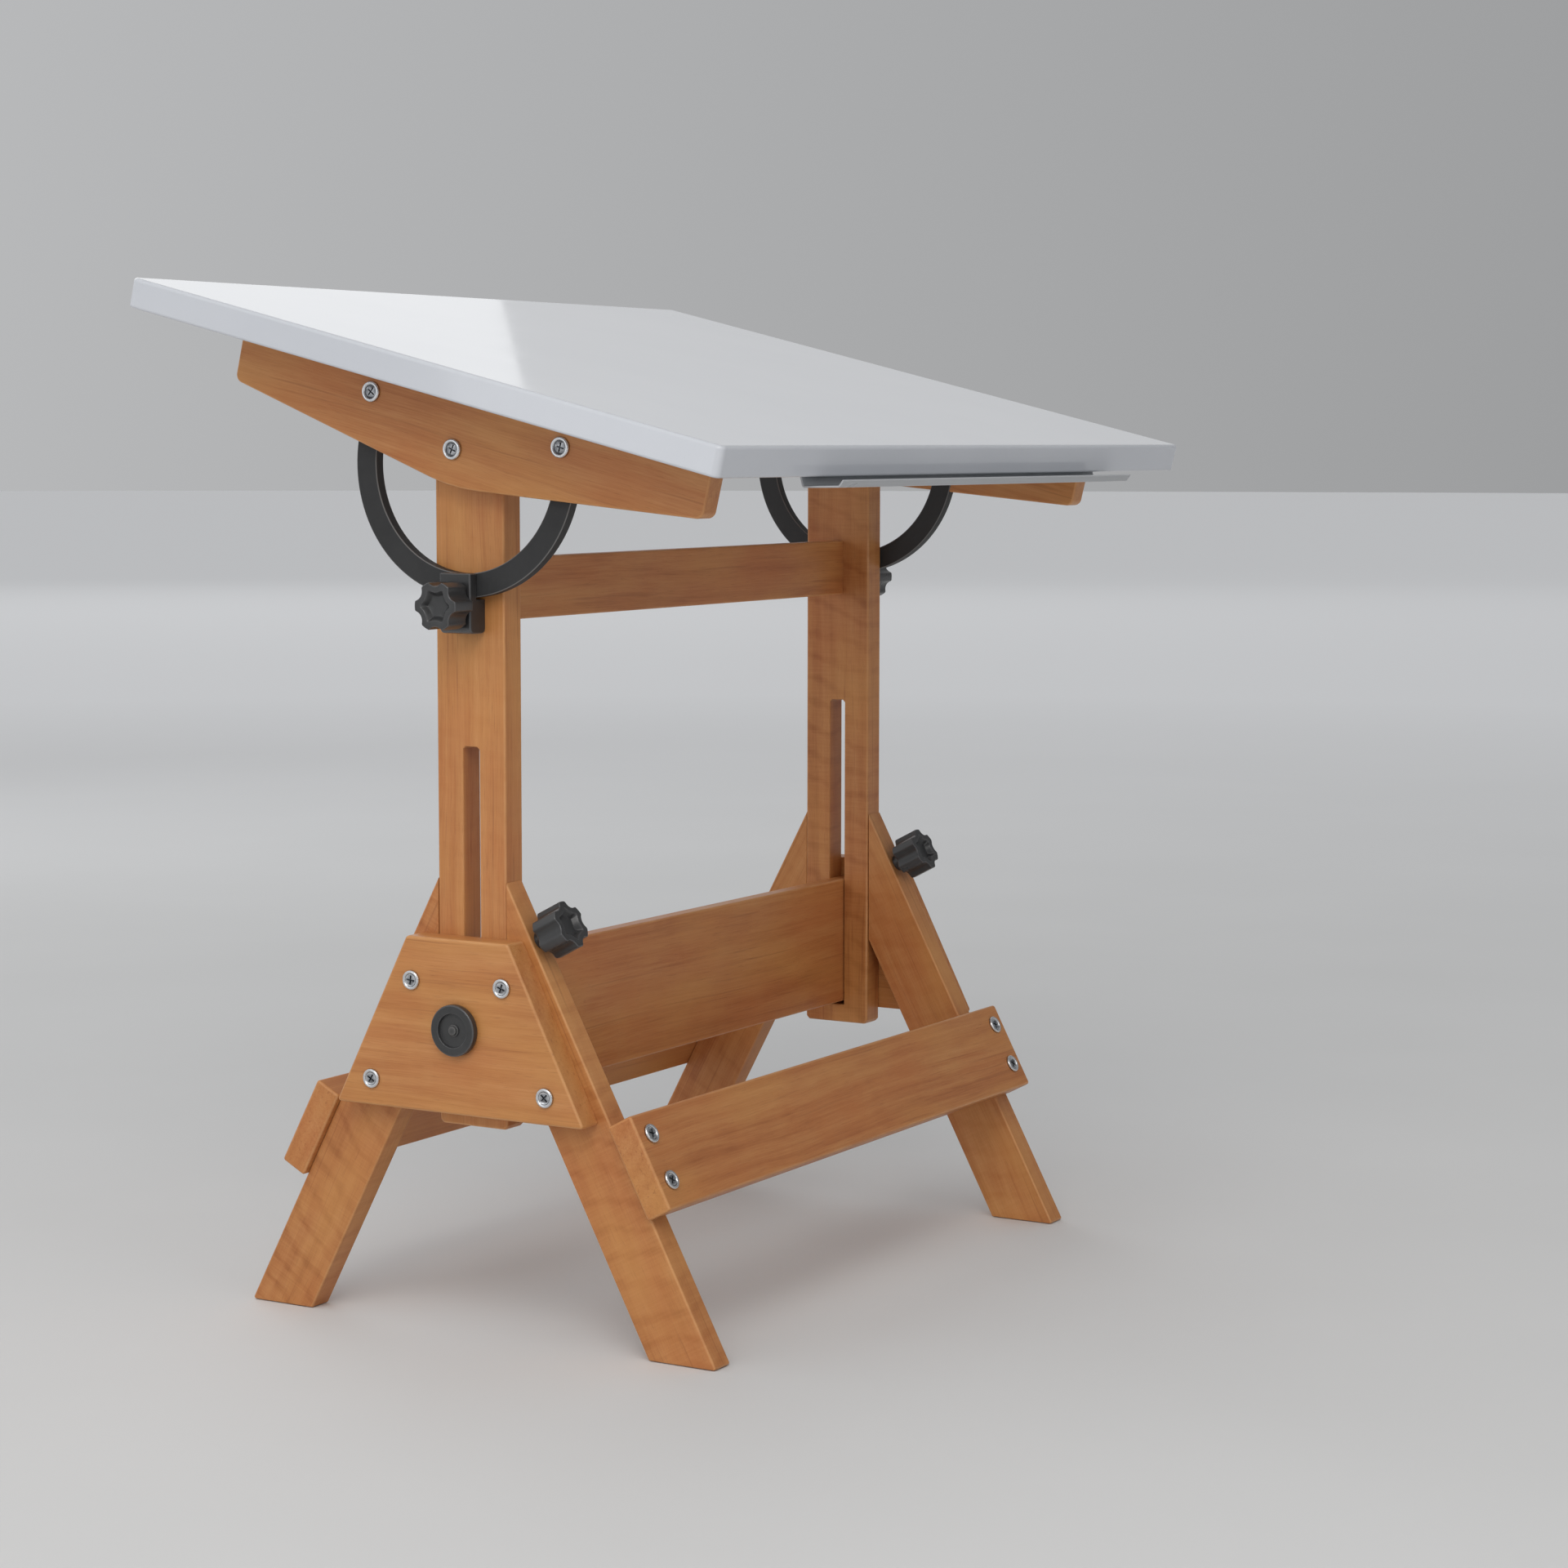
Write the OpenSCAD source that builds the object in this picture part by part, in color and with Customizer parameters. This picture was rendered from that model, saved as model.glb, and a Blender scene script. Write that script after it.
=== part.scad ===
// Drafting table: a white board that tilts on two cleats, a slotted-post frame
// that slides up and down between two pairs of splayed legs, and four star knobs.
// Millimetres. +Z up, +X to the right of the person who draws, -Y towards them.
// The origin is on the floor, at the centre of the overall footprint.

/* [Board] */
// Width of the drawing board, left to right
board_w = 1067; // [900:1:1300]
// Depth of the drawing board, along its slope
board_d = 750; // [700:1:800]
// Thickness of the drawing board
board_t = 32; // [18:1:40]
// Radius of the board's four corners, seen from above
board_corner = 8; // [4:1:20]
// Tilt of the board above level, as modelled
tilt = 13.6; // [8:0.1:20]
// Height of the tilt axis above the floor, as modelled
pivot_z = 939; // [930:1:960]
// Distance from the tilt axis up to the underside of the board
board_rise = 62.8; // [60:0.1:75]

/* [Cleats] */
// Thickness of each side cleat
cleat_t = 26; // [22:1:32]
// Length of each cleat in front of its own centre
cleat_half = 302.4; // [260:0.1:320]
// How far the cleat's centre lies in front of the tilt axis
cleat_shift = 7.6; // [0:0.1:12]
// Height of the cleat at its ends
cleat_end_h = 58.5; // [50:0.1:62]
// Height of the cleat at its sharp lower vertex
cleat_mid_h = 102.3; // [95:0.1:110]
// Blend radius on the lower vertex
cleat_blend = 210; // [60:5:260]
// Blend radius on the two lower end corners
cleat_end_blend = 9; // [3:1:14]

/* [Tilt arcs] */
// Outer radius of each tilt arc
arc_ro = 138.5; // [136:0.1:139]
// Width of the arc's band
arc_band = 25.5; // [22:0.1:28]
// Thickness of the arc
arc_t = 13; // [10:0.5:13]
// How far the arc's centre lies below the tilt axis
arc_drop = 14; // [12:0.1:14.5]
// Half the distance between the arc's two bolts
arc_bolt_half = 122.3; // [120:0.1:126]
// Height of the arc's bolts above the tilt axis
arc_bolt_n = 33.9; // [30:0.1:36]

/* [Frame that slides] */
// Half the distance between the posts' outer faces
post_x = 406.5; // [380:0.5:430]
// Thickness of a post, left to right
post_t = 31.5; // [26:0.5:36]
// Depth of a post, front to back
post_d = 87; // [80:1:90]
// Height of the post's lower end above the floor
post_z0 = 224; // [222:1:226]
// Height of the post's top above the tilt axis
post_top = 38; // [30:1:40]
// Width of the slot in each post
slot_w = 21; // [20:0.5:24]
// Height of the slot's lower end
slot_z0 = 246; // [244:1:248]
// Height of the slot's upper end
slot_z1 = 628; // [626:1:640]
// Thickness of the crossbar between the posts
crossbar_t = 16; // [14:1:20]
// Height of the crossbar's lower edge
crossbar_z0 = 759; // [750:1:765]
// Height of the crossbar, edge to edge
crossbar_h = 66; // [56:1:70]

/* [Base] */
// Half the distance between the legs' outer faces
leg_x = 407; // [380.5:0.5:430.5]
// Thickness of a leg
leg_t = 30; // [26:1:31]
// Width of a leg, square to its length
leg_w = 73; // [66:1:78]
// Height of the leg's upper tip
leg_top = 487; // [480:1:495]
// Distance of the foot's outer edge from the post's centre plane
foot_y = 301.5; // [290:0.5:320]
// Thickness of the side gussets
gusset_t = 29; // [24:1:30]
// Height of the gusset's upper edge
gusset_z1 = 427.5; // [424:0.5:430]
// Height of the gusset's lower edge
gusset_z0 = 241; // [238:1:246]
// Half length of the gusset's upper edge
gusset_top = 65; // [60:1:70]
// Half length of the gusset's lower edge
gusset_bot = 159.3; // [150:0.1:162]
// Thickness of the lower stretcher
stretcher_t = 19; // [16:0.5:19]
// Height of the stretcher's lower edge
stretcher_z0 = 250.5; // [250:0.5:252]
// Height of the stretcher's upper edge
stretcher_z1 = 404.5; // [398:0.5:405]
// Thickness of the front and rear rails
rail_t = 32; // [24:1:34]
// Width of the front and rear rails, along the leg's slope
rail_w = 105.6; // [95:0.1:112]
// Distance of the rails from the leg's tip, along its slope
rail_s = 277.4; // [275:0.1:285]
// How far a rail's end stands out past the leg
rail_over = 7.3; // [4:0.1:12]

/* [Knobs and hardware] */
// Radius over the knob's six lobes
knob_r = 26; // [22:0.5:26]
// Length of the knob, along its axis
knob_len = 35; // [28:1:38]
// Position of the leg knob along the leg's slope, from the tip
knob_s = 68.5; // [64:0.5:76]
// Radius of the round caps on the gussets
cap_r = 27.5; // [22:0.5:28]
// Thickness of the round caps
cap_t = 9; // [7:0.5:12]
// Width of the arc clamp
clamp_w = 39; // [34:1:44]
// Height of the arc clamp's lower end
clamp_z0 = 748; // [744:1:752]

/* [Pencil tray] */
// Length of the pencil tray
tray_l = 683; // [400:1:760]
// Wall thickness of the pencil tray
tray_wall = 2; // [1.5:0.1:2.5]

/* [Hidden] */
$fn = 64;

wood_c = [0.70, 0.44, 0.24];
dark_c = [0.22, 0.22, 0.23];
zinc_c = [0.80, 0.81, 0.83];
board_c = [0.86, 0.88, 0.91];
tray_c = [0.70, 0.73, 0.77];
dowel_c = [0.82, 0.68, 0.46];
brass_c = [0.78, 0.66, 0.36];

// ---- plan of the board's parts, as (u, n): u up the slope, n off the board
bn = board_rise;
post_y = post_d / 2;
slide_gap = 0.5;
leg_y = post_y + slide_gap;
fit = 0.05;

// Centre line of the tray's section: flange, rear wall, floor, lip
tray_path = [[-331, bn - tray_wall/2], [-356, bn - tray_wall/2],
             [-362.5, bn - 13], [-402.5, bn - 2.8], [-406.2, bn + 5]];
function unit(v) = v / norm(v);
function perp(v) = [-v[1], v[0]];
function seg_n(p, i) = perp(unit(p[i+1] - p[i]));
function miter(p, i) = i == 0 ? seg_n(p, 0)
    : i == len(p) - 1 ? seg_n(p, i - 1)
    : (seg_n(p, i-1) + seg_n(p, i)) / (1 + seg_n(p, i-1) * seg_n(p, i));
tray_pts = concat([for (i = [0:len(tray_path)-1]) tray_path[i] + miter(tray_path, i) * tray_wall/2],
                  [for (i = [len(tray_path)-1:-1:0]) tray_path[i] - miter(tray_path, i) * tray_wall/2]);

// Footprint of the tilted parts, for the origin at the middle of the box
function fy(p) = p[0] * cos(tilt) - p[1] * sin(tilt);
y_lo = min([for (p = tray_pts) fy(p)]);
y_hi = fy([board_d/2, bn]);
ys = -(y_lo + y_hi) / 2;

// Slope of the legs
leg_len = norm([foot_y - leg_y, leg_top]);
leg_a = asin((foot_y - leg_y) / leg_len);

// Clamp and arc positions
arc_x0 = post_x + 1.5;
arc_x1 = arc_x0 + arc_t;
cleat_x0 = post_x + 2.5;
cleat_x1 = cleat_x0 + cleat_t;
clamp_x1 = arc_x1 + 12.5;
arc_low = norm([cleat_shift, arc_drop]) + arc_ro;
notch_z = pivot_z - arc_low - 1.1;
clamp_knob_z = notch_z - 5.5;
clamp_z1 = pivot_z - arc_low + arc_band + 1;
post_x0 = post_x - post_t;
rail_x = leg_x + rail_over;
gusset_x1 = leg_x + gusset_t;
cap_z = 332;

// ---- helpers
// Section in (y, z), drawn out along +X from x0 to x1
module along_x(x0, x1) {
    translate([x0, 0, 0]) rotate([90, 0, 90]) linear_extrude(x1 - x0) children();
}
// Round bar along +X
module bar_x(x0, x1, r, y = 0, z = 0) {
    translate([x0, y, z]) rotate([0, 90, 0]) cylinder(r = r, h = x1 - x0);
}
// Base and post frame: moves the centre plane of the posts to its place
module stand() { translate([0, ys, 0]) children(); }
// Board frame: x along the tilt axis, y up the slope, z off the board
module tilted() { translate([0, ys, pivot_z]) rotate([tilt, 0, 0]) children(); }
// Leg edge frame: x as is, y down the slope from the tip, z out of the leg's outer edge
module leg_edge(front = true) {
    mirror([0, front ? 1 : 0, 0]) translate([0, leg_y, leg_top])
        rotate([-90 + leg_a, 0, 0]) children();
}
// Same shape on both ends
module both_ends() { children(); mirror([1, 0, 0]) children(); }
// Turned screw head with a rim, a sunk face and a cross recess; face towards +X
module head_x(x, r, y = 0, z = 0, h = 3.2, sink = 1.4) {
    translate([x, y, z]) rotate([0, 90, 0]) difference() {
        union() {
            cylinder(r = r, h = h - 0.9);
            translate([0, 0, h - 0.9]) cylinder(r1 = r, r2 = r - 0.9, h = 0.9);
        }
        translate([0, 0, h - sink]) cylinder(r = r * 0.64, h = sink + 1);
        for (a = [0, 90]) rotate([0, 0, a + 20]) translate([-r * 0.42, -0.8, h - sink - 0.9])
            cube([r * 0.84, 1.6, 2]);
    }
}
// Six-lobed knob along +Z: collar, scalloped body and a dished face
module knob_body(bore_r, bore_h) {
    difference() {
        union() {
            cylinder(r = 11, h = 4);
            translate([0, 0, 2.5]) difference() {
                union() {
                    cylinder(r = knob_r, h = knob_len - 4);
                    translate([0, 0, knob_len - 4])
                        cylinder(r1 = knob_r, r2 = knob_r - 1.5, h = 1.5);
                }
                for (a = [0:60:300]) rotate([0, 0, a]) translate([knob_r + 5.5, 0, -1])
                    cylinder(r = 10.5, h = knob_len + 2);
            }
        }
        difference() {
            translate([0, 0, knob_len - 6]) cylinder(r1 = 14, r2 = 18.5, h = 7);
            for (a = [0:60:300]) rotate([0, 0, a]) translate([knob_r + 5.5, 0, knob_len - 7])
                cylinder(r = 17, h = 9);
        }
        translate([0, 0, -1]) cylinder(r = bore_r, h = bore_h + 1);
    }
}

// ---- base
module leg_plan() {
    polygon([[leg_y, leg_top], [foot_y, 0], [foot_y - leg_w / cos(leg_a), 0],
             [leg_y, leg_top - leg_w / sin(leg_a)]]);
}
// Holes for the gusset's screws, in the stand frame, on the right-hand end
gusset_holes = [[58, 380.5], [-58, 380.5], [111.5, 270.2], [-111.5, 270.2]];
module gusset_screw_bores(r, x0, x1) {
    for (p = gusset_holes) bar_x(x0, x1, r, p[0], p[1]);
}
rail_holes = [24, 76];
module rail_screw_bores(r, h0, h1) {
    for (s = rail_holes) translate([leg_x - 15.4, rail_s + s, h0]) cylinder(r = r, h = h1 - h0);
}
module leg(front) {
    color(wood_c) stand() difference() {
        along_x(leg_x - leg_t, leg_x) mirror([front ? 1 : 0, 0]) leg_plan();
        gusset_screw_bores(3 + fit, leg_x - 24, leg_x + 1);
        leg_edge(front) rail_screw_bores(3 + fit, -30, 1);
        if (front) leg_edge(true) {
            translate([leg_x - leg_t/2, knob_s, -20]) cylinder(r = 6.5 + fit, h = 21);
            translate([leg_x - leg_t/2, knob_s, -60]) cylinder(r = 4.5, h = 61);
        }
    }
}
module leg_front_right() { leg(true); }
module leg_rear_right() { leg(false); }
module leg_front_left() { mirror([1, 0, 0]) leg(true); }
module leg_rear_left() { mirror([1, 0, 0]) leg(false); }

module gusset() {
    color(wood_c) stand() difference() {
        along_x(leg_x, gusset_x1)
            polygon([[-gusset_top, gusset_z1], [gusset_top, gusset_z1],
                     [gusset_bot, gusset_z0], [-gusset_bot, gusset_z0]]);
        gusset_screw_bores(3 + fit, leg_x - 1, gusset_x1 + 1);
        bar_x(leg_x - 1, gusset_x1 + 1, 4 + fit, 0, cap_z);
        for (z = stretcher_dowel_z) bar_x(leg_x - 1, leg_x + 14, 5 + fit, 0, z);
    }
}
module gusset_right() { gusset(); }
module gusset_left() { mirror([1, 0, 0]) gusset(); }

stretcher_dowel_z = [284, 376];
module lower_stretcher() {
    color(wood_c) stand() difference() {
        translate([-leg_x, -stretcher_t/2, stretcher_z0])
            cube([2*leg_x, stretcher_t, stretcher_z1 - stretcher_z0]);
        both_ends() {
            bar_x(leg_x - 26, leg_x + 1, 6.5 + fit, 0, cap_z);
            for (z = stretcher_dowel_z) bar_x(leg_x - 26, leg_x + 1, 5 + fit, 0, z);
        }
    }
}
module rail(front) {
    color(wood_c) stand() difference() {
        leg_edge(front) translate([-rail_x, rail_s, 0]) cube([2*rail_x, rail_w, rail_t]);
        both_ends() leg_edge(front) rail_screw_bores(3 + fit, -1, rail_t + 1);
    }
}
module front_rail() { rail(true); }
module rear_rail() { rail(false); }

module gusset_screws() {
    color(zinc_c) stand() both_ends() for (p = gusset_holes) union() {
        bar_x(leg_x - 23, gusset_x1 + 0.5, 3, p[0], p[1]);
        head_x(gusset_x1, 10.5, p[0], p[1]);
    }
}
module rail_screws() {
    color(zinc_c) stand() both_ends() for (f = [true, false]) leg_edge(f)
        for (s = rail_holes) translate([leg_x - 15.4, rail_s + s, 0]) union() {
            translate([0, 0, -29]) cylinder(r = 3, h = 29 + rail_t + 0.5);
            translate([0, 0, rail_t]) rotate([0, -90, 0]) head_x(0, 10.5);
        }
}
module cap() {
    color(dark_c) stand() difference() {
        union() {
            bar_x(gusset_x1, gusset_x1 + cap_t - 2, cap_r, 0, cap_z);
            translate([gusset_x1 + cap_t - 2, 0, cap_z]) rotate([0, 90, 0])
                cylinder(r1 = cap_r, r2 = cap_r - 2, h = 2);
        }
        bar_x(gusset_x1 + cap_t - 4, gusset_x1 + cap_t + 1, 18, 0, cap_z);
        bar_x(gusset_x1 - 1, gusset_x1 + cap_t, 4 + fit, 0, cap_z);
    }
}
module cap_right() { cap(); }
module cap_left() { mirror([1, 0, 0]) cap(); }
module stretcher_bolts() {
    color(dark_c) stand() both_ends() union() {
        bar_x(leg_x - 22, gusset_x1 + cap_t - 3.5, 4, 0, cap_z);
        translate([gusset_x1 + cap_t - 4, 0, cap_z]) rotate([0, 90, 0]) difference() {
            union() {
                cylinder(r = 6.5, h = 2.5);
                translate([0, 0, 2.5]) cylinder(r1 = 6.5, r2 = 4.5, h = 1.5);
            }
            translate([0, 0, 1.8]) cylinder(r = 2.9, h = 4, $fn = 6);
        }
    }
}
// Threaded sleeve along +X
module insert_x(x0, x1, ro, ri, z) {
    difference() { bar_x(x0, x1, ro, 0, z); bar_x(x0 - 1, x1 + 1, ri, 0, z); }
}
module stretcher_inserts() {
    color(zinc_c) stand() both_ends() insert_x(leg_x - 25, leg_x - 1, 6.5, 4 + fit, cap_z);
}
module stretcher_dowels() {
    color(dowel_c) stand() both_ends() for (z = stretcher_dowel_z)
        bar_x(leg_x - 25, leg_x + 13, 5, 0, z);
}
module leg_inserts() {
    color(zinc_c) stand() both_ends() leg_edge(true) translate([leg_x - leg_t/2, knob_s, 0])
        difference() {
            translate([0, 0, -19.5]) cylinder(r = 6.5, h = 19.5);
            translate([0, 0, -21]) cylinder(r = 4 + fit, h = 23);
        }
}

// ---- frame that slides
module post() {
    zt = pivot_z + post_top;
    c = 16;
    color(wood_c) stand() difference() {
        along_x(post_x0, post_x) polygon([
            [-post_y, post_z0 + 4], [-post_y + 4, post_z0], [post_y - 4, post_z0], [post_y, post_z0 + 4],
            [post_y, zt - c], [post_y - c, zt], [-post_y + c, zt], [-post_y, zt - c]]);
        along_x(post_x0 - 1, post_x + 1) polygon([
            [-slot_w/2, slot_z0], [slot_w/2, slot_z0], [slot_w/2, slot_z1 - 3], [slot_w/2 - 3, slot_z1],
            [-slot_w/2 + 3, slot_z1], [-slot_w/2, slot_z1 - 3]]);
        bar_x(post_x0 - 1, post_x + 1, 5 + fit, 0, pivot_z);
        bar_x(post_x - 20.5, post_x + 1, 6 + fit, 0, clamp_knob_z);
        for (z = crossbar_dowel_z) bar_x(post_x0 - 1, post_x0 + 10.5, 4 + fit, 0, z);
    }
}
module post_right() { post(); }
module post_left() { mirror([1, 0, 0]) post(); }
crossbar_dowel_z = [crossbar_z0 + 12, crossbar_z0 + crossbar_h - 12];
module crossbar() {
    color(wood_c) stand() difference() {
        translate([-post_x0, -crossbar_t/2, crossbar_z0]) cube([2*post_x0, crossbar_t, crossbar_h]);
        both_ends() for (z = crossbar_dowel_z) bar_x(post_x0 - 30.5, post_x0 + 1, 4 + fit, 0, z);
    }
}
module crossbar_dowels() {
    color(dowel_c) stand() both_ends() for (z = crossbar_dowel_z)
        bar_x(post_x0 - 30, post_x0 + 10, 4, 0, z);
}
// Clamp block: its jaw holds the arc against the post
module clamp() {
    r = 7;
    color(dark_c) stand() difference() {
        along_x_clamp(r);
        bar_x(post_x - 1, clamp_x1 + 1, 3 + fit, 0, clamp_knob_z);
    }
}
module along_x_clamp(r) {
    ri = 5;
    translate([0, clamp_w/2, 0]) rotate([90, 0, 0]) linear_extrude(clamp_w) difference() {
        union() {
            translate([post_x, clamp_z0 + r]) square([clamp_x1 - post_x, clamp_z1 - clamp_z0 - r]);
            translate([post_x, clamp_z0 + ri]) square([clamp_x1 - post_x - r, r - ri + 1]);
            translate([post_x + ri, clamp_z0]) square([clamp_x1 - post_x - r - ri, r + 1]);
            translate([post_x + ri, clamp_z0 + ri]) circle(r = ri);
            translate([clamp_x1 - r, clamp_z0 + r]) circle(r = r);
        }
        translate([post_x - 1, notch_z]) square([arc_x1 + 0.5 - post_x + 1, 80]);
    }
}
module clamp_right() { clamp(); }
module clamp_left() { mirror([1, 0, 0]) clamp(); }
module post_inserts() {
    color(zinc_c) stand() both_ends() insert_x(post_x - 20, post_x, 6, 3 + fit, clamp_knob_z);
}
module pivot_bolts() {
    color(zinc_c) stand() both_ends() union() {
        bar_x(post_x0 - 9, cleat_x1 + 0.5, 5, 0, pivot_z);
        head_x(cleat_x1 + 0.3, 11, 0, pivot_z, 3.6, 1.8);
    }
}
module pivot_nuts() {
    color(zinc_c) stand() both_ends() difference() {
        union() {
            bar_x(post_x0 - 1.5, post_x0, 11, 0, pivot_z);
            translate([post_x0 - 8, 0, pivot_z]) rotate([0, 90, 0]) cylinder(r = 9, h = 6.5, $fn = 6);
        }
        bar_x(post_x0 - 10, post_x0 + 1, 5 + fit, 0, pivot_z);
    }
}
module pivot_washers() {
    color(dark_c) stand() both_ends() insert_x(post_x, post_x + 2.1, 15, 5 + fit, pivot_z);
}

// ---- board
module drawing_board() {
    w = board_w/2; d = board_d/2; r = board_corner;
    color(board_c) tilted() difference() {
        translate([0, 0, bn]) linear_extrude(board_t) union() {
            translate([-w + r, -d]) square([2*w - 2*r, 2*d]);
            translate([-w, -d + r]) square([2*w, 2*d - 2*r]);
            for (x = [-w + r, w - r], y = [-d + r, d - r]) translate([x, y]) circle(r = r);
        }
        both_ends() for (u = cleat_screw_u) translate([cleat_x0 + cleat_t/2, u, bn - 1]) cylinder(r = 2.5 + fit, h = 21);
        for (x = tray_screw_x) translate([x, -343, bn - 1]) cylinder(r = 1.75 + fit, h = 15);
    }
}
cleat_screw_u = [-cleat_shift - 245, -cleat_shift - 172, -cleat_shift + 172, -cleat_shift + 245];
tray_screw_x = [-300, -100, 100, 300];
cleat_low = bn - cleat_mid_h;
cleat_a = atan((cleat_mid_h - cleat_end_h) / cleat_half);
// Cleat outline in (u, n) about the cleat's own centre: straight top, shallow V below
function cleat_fillet(cx, cy, r, a0, a1, k) = [for (i = [0:k]) let (a = a0 + (a1 - a0) * i / k) [cx + r * cos(a), cy + r * sin(a)]];
cleat_cr = cleat_end_blend;
// centre of the end corner's blend, which touches the end face and the sloping edge
function cleat_edge_n(x) = cleat_low + abs(x) * tan(cleat_a);
cleat_pts = concat(
    [[-cleat_half, bn]],
    cleat_fillet(-cleat_half + cleat_cr, cleat_edge_n(cleat_half - cleat_cr) + cleat_cr / cos(cleat_a), cleat_cr, 180, 270 - cleat_a, 5),
    cleat_fillet(0, cleat_low + cleat_blend / cos(cleat_a), cleat_blend, 270 - cleat_a, 270 + cleat_a, 8),
    cleat_fillet(cleat_half - cleat_cr, cleat_edge_n(cleat_half - cleat_cr) + cleat_cr / cos(cleat_a), cleat_cr, 270 + cleat_a, 360, 5),
    [[cleat_half, bn]]);
module cleat() {
    pocket = arc_band + 1;
    color(wood_c) tilted() difference() {
        translate([0, -cleat_shift, 0]) along_x(cleat_x0, cleat_x1) polygon(cleat_pts);
        // housings for the arc's two ends, open below and on the inner face
        for (s = [-1, 1]) translate([cleat_x0 - 1, -cleat_shift + s * (arc_ro - arc_band/2) - pocket/2, -60])
            cube([arc_x1 + 0.2 - cleat_x0 + 1, pocket, 60 + arc_bolt_n + 14.5]);
        for (s = [-1, 1]) bar_x(arc_x1 - 1, cleat_x1 + 1, 4 + fit, -cleat_shift + s * arc_bolt_half, arc_bolt_n);
        bar_x(cleat_x0 - 1, cleat_x1 + 1, 5 + fit, 0, 0);
        for (u = cleat_screw_u) translate([cleat_x0 + cleat_t/2, u, 0]) {
            translate([0, 0, -60]) cylinder(r = 6, h = 78);
            translate([0, 0, 17]) cylinder(r = 2.5 + fit, h = bn);
        }
    }
}
module cleat_right() { cleat(); }
module cleat_left() { mirror([1, 0, 0]) cleat(); }
// Half ring with two straight ends, in (u, n) about the arc's centre
module arc_plan() {
    ri = arc_ro - arc_band; top = arc_bolt_n + arc_drop;
    difference() {
        circle(r = arc_ro, $fn = 128);
        circle(r = ri, $fn = 128);
        translate([-arc_ro - 1, 0]) square([2*arc_ro + 2, arc_ro + 1]);
    }
    for (s = [-1, 1]) {
        translate([s * (arc_ro - arc_band/2) - arc_band/2, -0.01]) square([arc_band, top + 0.01]);
        translate([s * (arc_ro - arc_band/2), top]) circle(r = arc_band/2);
    }
}
module arc() {
    color(dark_c) tilted() difference() {
        translate([0, -cleat_shift, -arc_drop]) along_x(arc_x0, arc_x1) arc_plan();
        for (s = [-1, 1]) bar_x(arc_x0 - 1, arc_x1 + 1, 5.5 + fit, -cleat_shift + s * arc_bolt_half, arc_bolt_n);
    }
}
module arc_right() { arc(); }
module arc_left() { mirror([1, 0, 0]) arc(); }
module arc_bolts() {
    color(zinc_c) tilted() both_ends() for (s = [-1, 1]) union() {
        bar_x(arc_x0 + 2, cleat_x1 + 0.5, 4, -cleat_shift + s * arc_bolt_half, arc_bolt_n);
        head_x(cleat_x1, 11, -cleat_shift + s * arc_bolt_half, arc_bolt_n, 3.6, 1.8);
    }
}
module arc_nuts() {
    color(zinc_c) tilted() both_ends() for (s = [-1, 1]) translate([0, -cleat_shift + s * arc_bolt_half, 0])
        difference() {
            union() {
                bar_x(arc_x0 - 1.4, arc_x0, 8, 0, arc_bolt_n);
                bar_x(arc_x0 - 0.5, arc_x1 - 0.5, 5.5, 0, arc_bolt_n);
            }
            bar_x(arc_x0 - 2, arc_x1 + 1, 4 + fit, 0, arc_bolt_n);
        }
}
module cleat_screws() {
    color(zinc_c) tilted() both_ends() for (u = cleat_screw_u) translate([cleat_x0 + cleat_t/2, u, 0]) difference() {
        union() {
            translate([0, 0, 15.5]) cylinder(r = 5, h = 2.5);
            translate([0, 0, 17]) cylinder(r = 2.5, h = bn + 19 - 17);
        }
        for (a = [0, 90]) rotate([0, 0, a]) translate([-2.5, -0.6, 15]) cube([5, 1.2, 1.8]);
    }
}
module pencil_tray() {
    color(tray_c) tilted() difference() {
        along_x(-tray_l/2, tray_l/2) polygon(tray_pts);
        for (x = tray_screw_x) translate([x, -343, bn - 5]) cylinder(r = 1.75 + fit, h = 10);
    }
}
module tray_screws() {
    color(zinc_c) tilted() for (x = tray_screw_x) translate([x, -343, 0]) difference() {
        union() {
            translate([0, 0, bn - tray_wall - 1.8]) cylinder(r = 3.6, h = 1.8);
            translate([0, 0, bn - tray_wall - 0.5]) cylinder(r = 1.75, h = tray_wall + 13.5);
        }
        for (a = [0, 90]) rotate([0, 0, a]) translate([-1.8, -0.45, bn - tray_wall - 2]) cube([3.6, 0.9, 1.2]);
    }
}

// ---- knobs
clamp_knob_x = clamp_x1 + 0.3;
module arc_knob() {
    color(dark_c) stand() translate([clamp_knob_x, 0, clamp_knob_z]) rotate([0, 90, 0])
        knob_body(3 + fit, 20);
}
module arc_knob_right() { arc_knob(); }
module arc_knob_left() { mirror([1, 0, 0]) arc_knob(); }
module arc_stud() {
    color(zinc_c) stand() bar_x(post_x - 19, clamp_knob_x + 19.5, 3, 0, clamp_knob_z);
}
module arc_stud_right() { arc_stud(); }
module arc_stud_left() { mirror([1, 0, 0]) arc_stud(); }
// Length of the leg knob's stud inside the leg, up to the post
leg_stud_in = knob_s * sin(leg_a) / cos(leg_a) - 4 * tan(leg_a) - 0.4;
module leg_knob() {
    color(dark_c) stand() leg_edge(true) translate([leg_x - leg_t/2, knob_s, 0.3]) rotate([0, 0, 30])
        scale(1) knob_body_leg();
}
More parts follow.
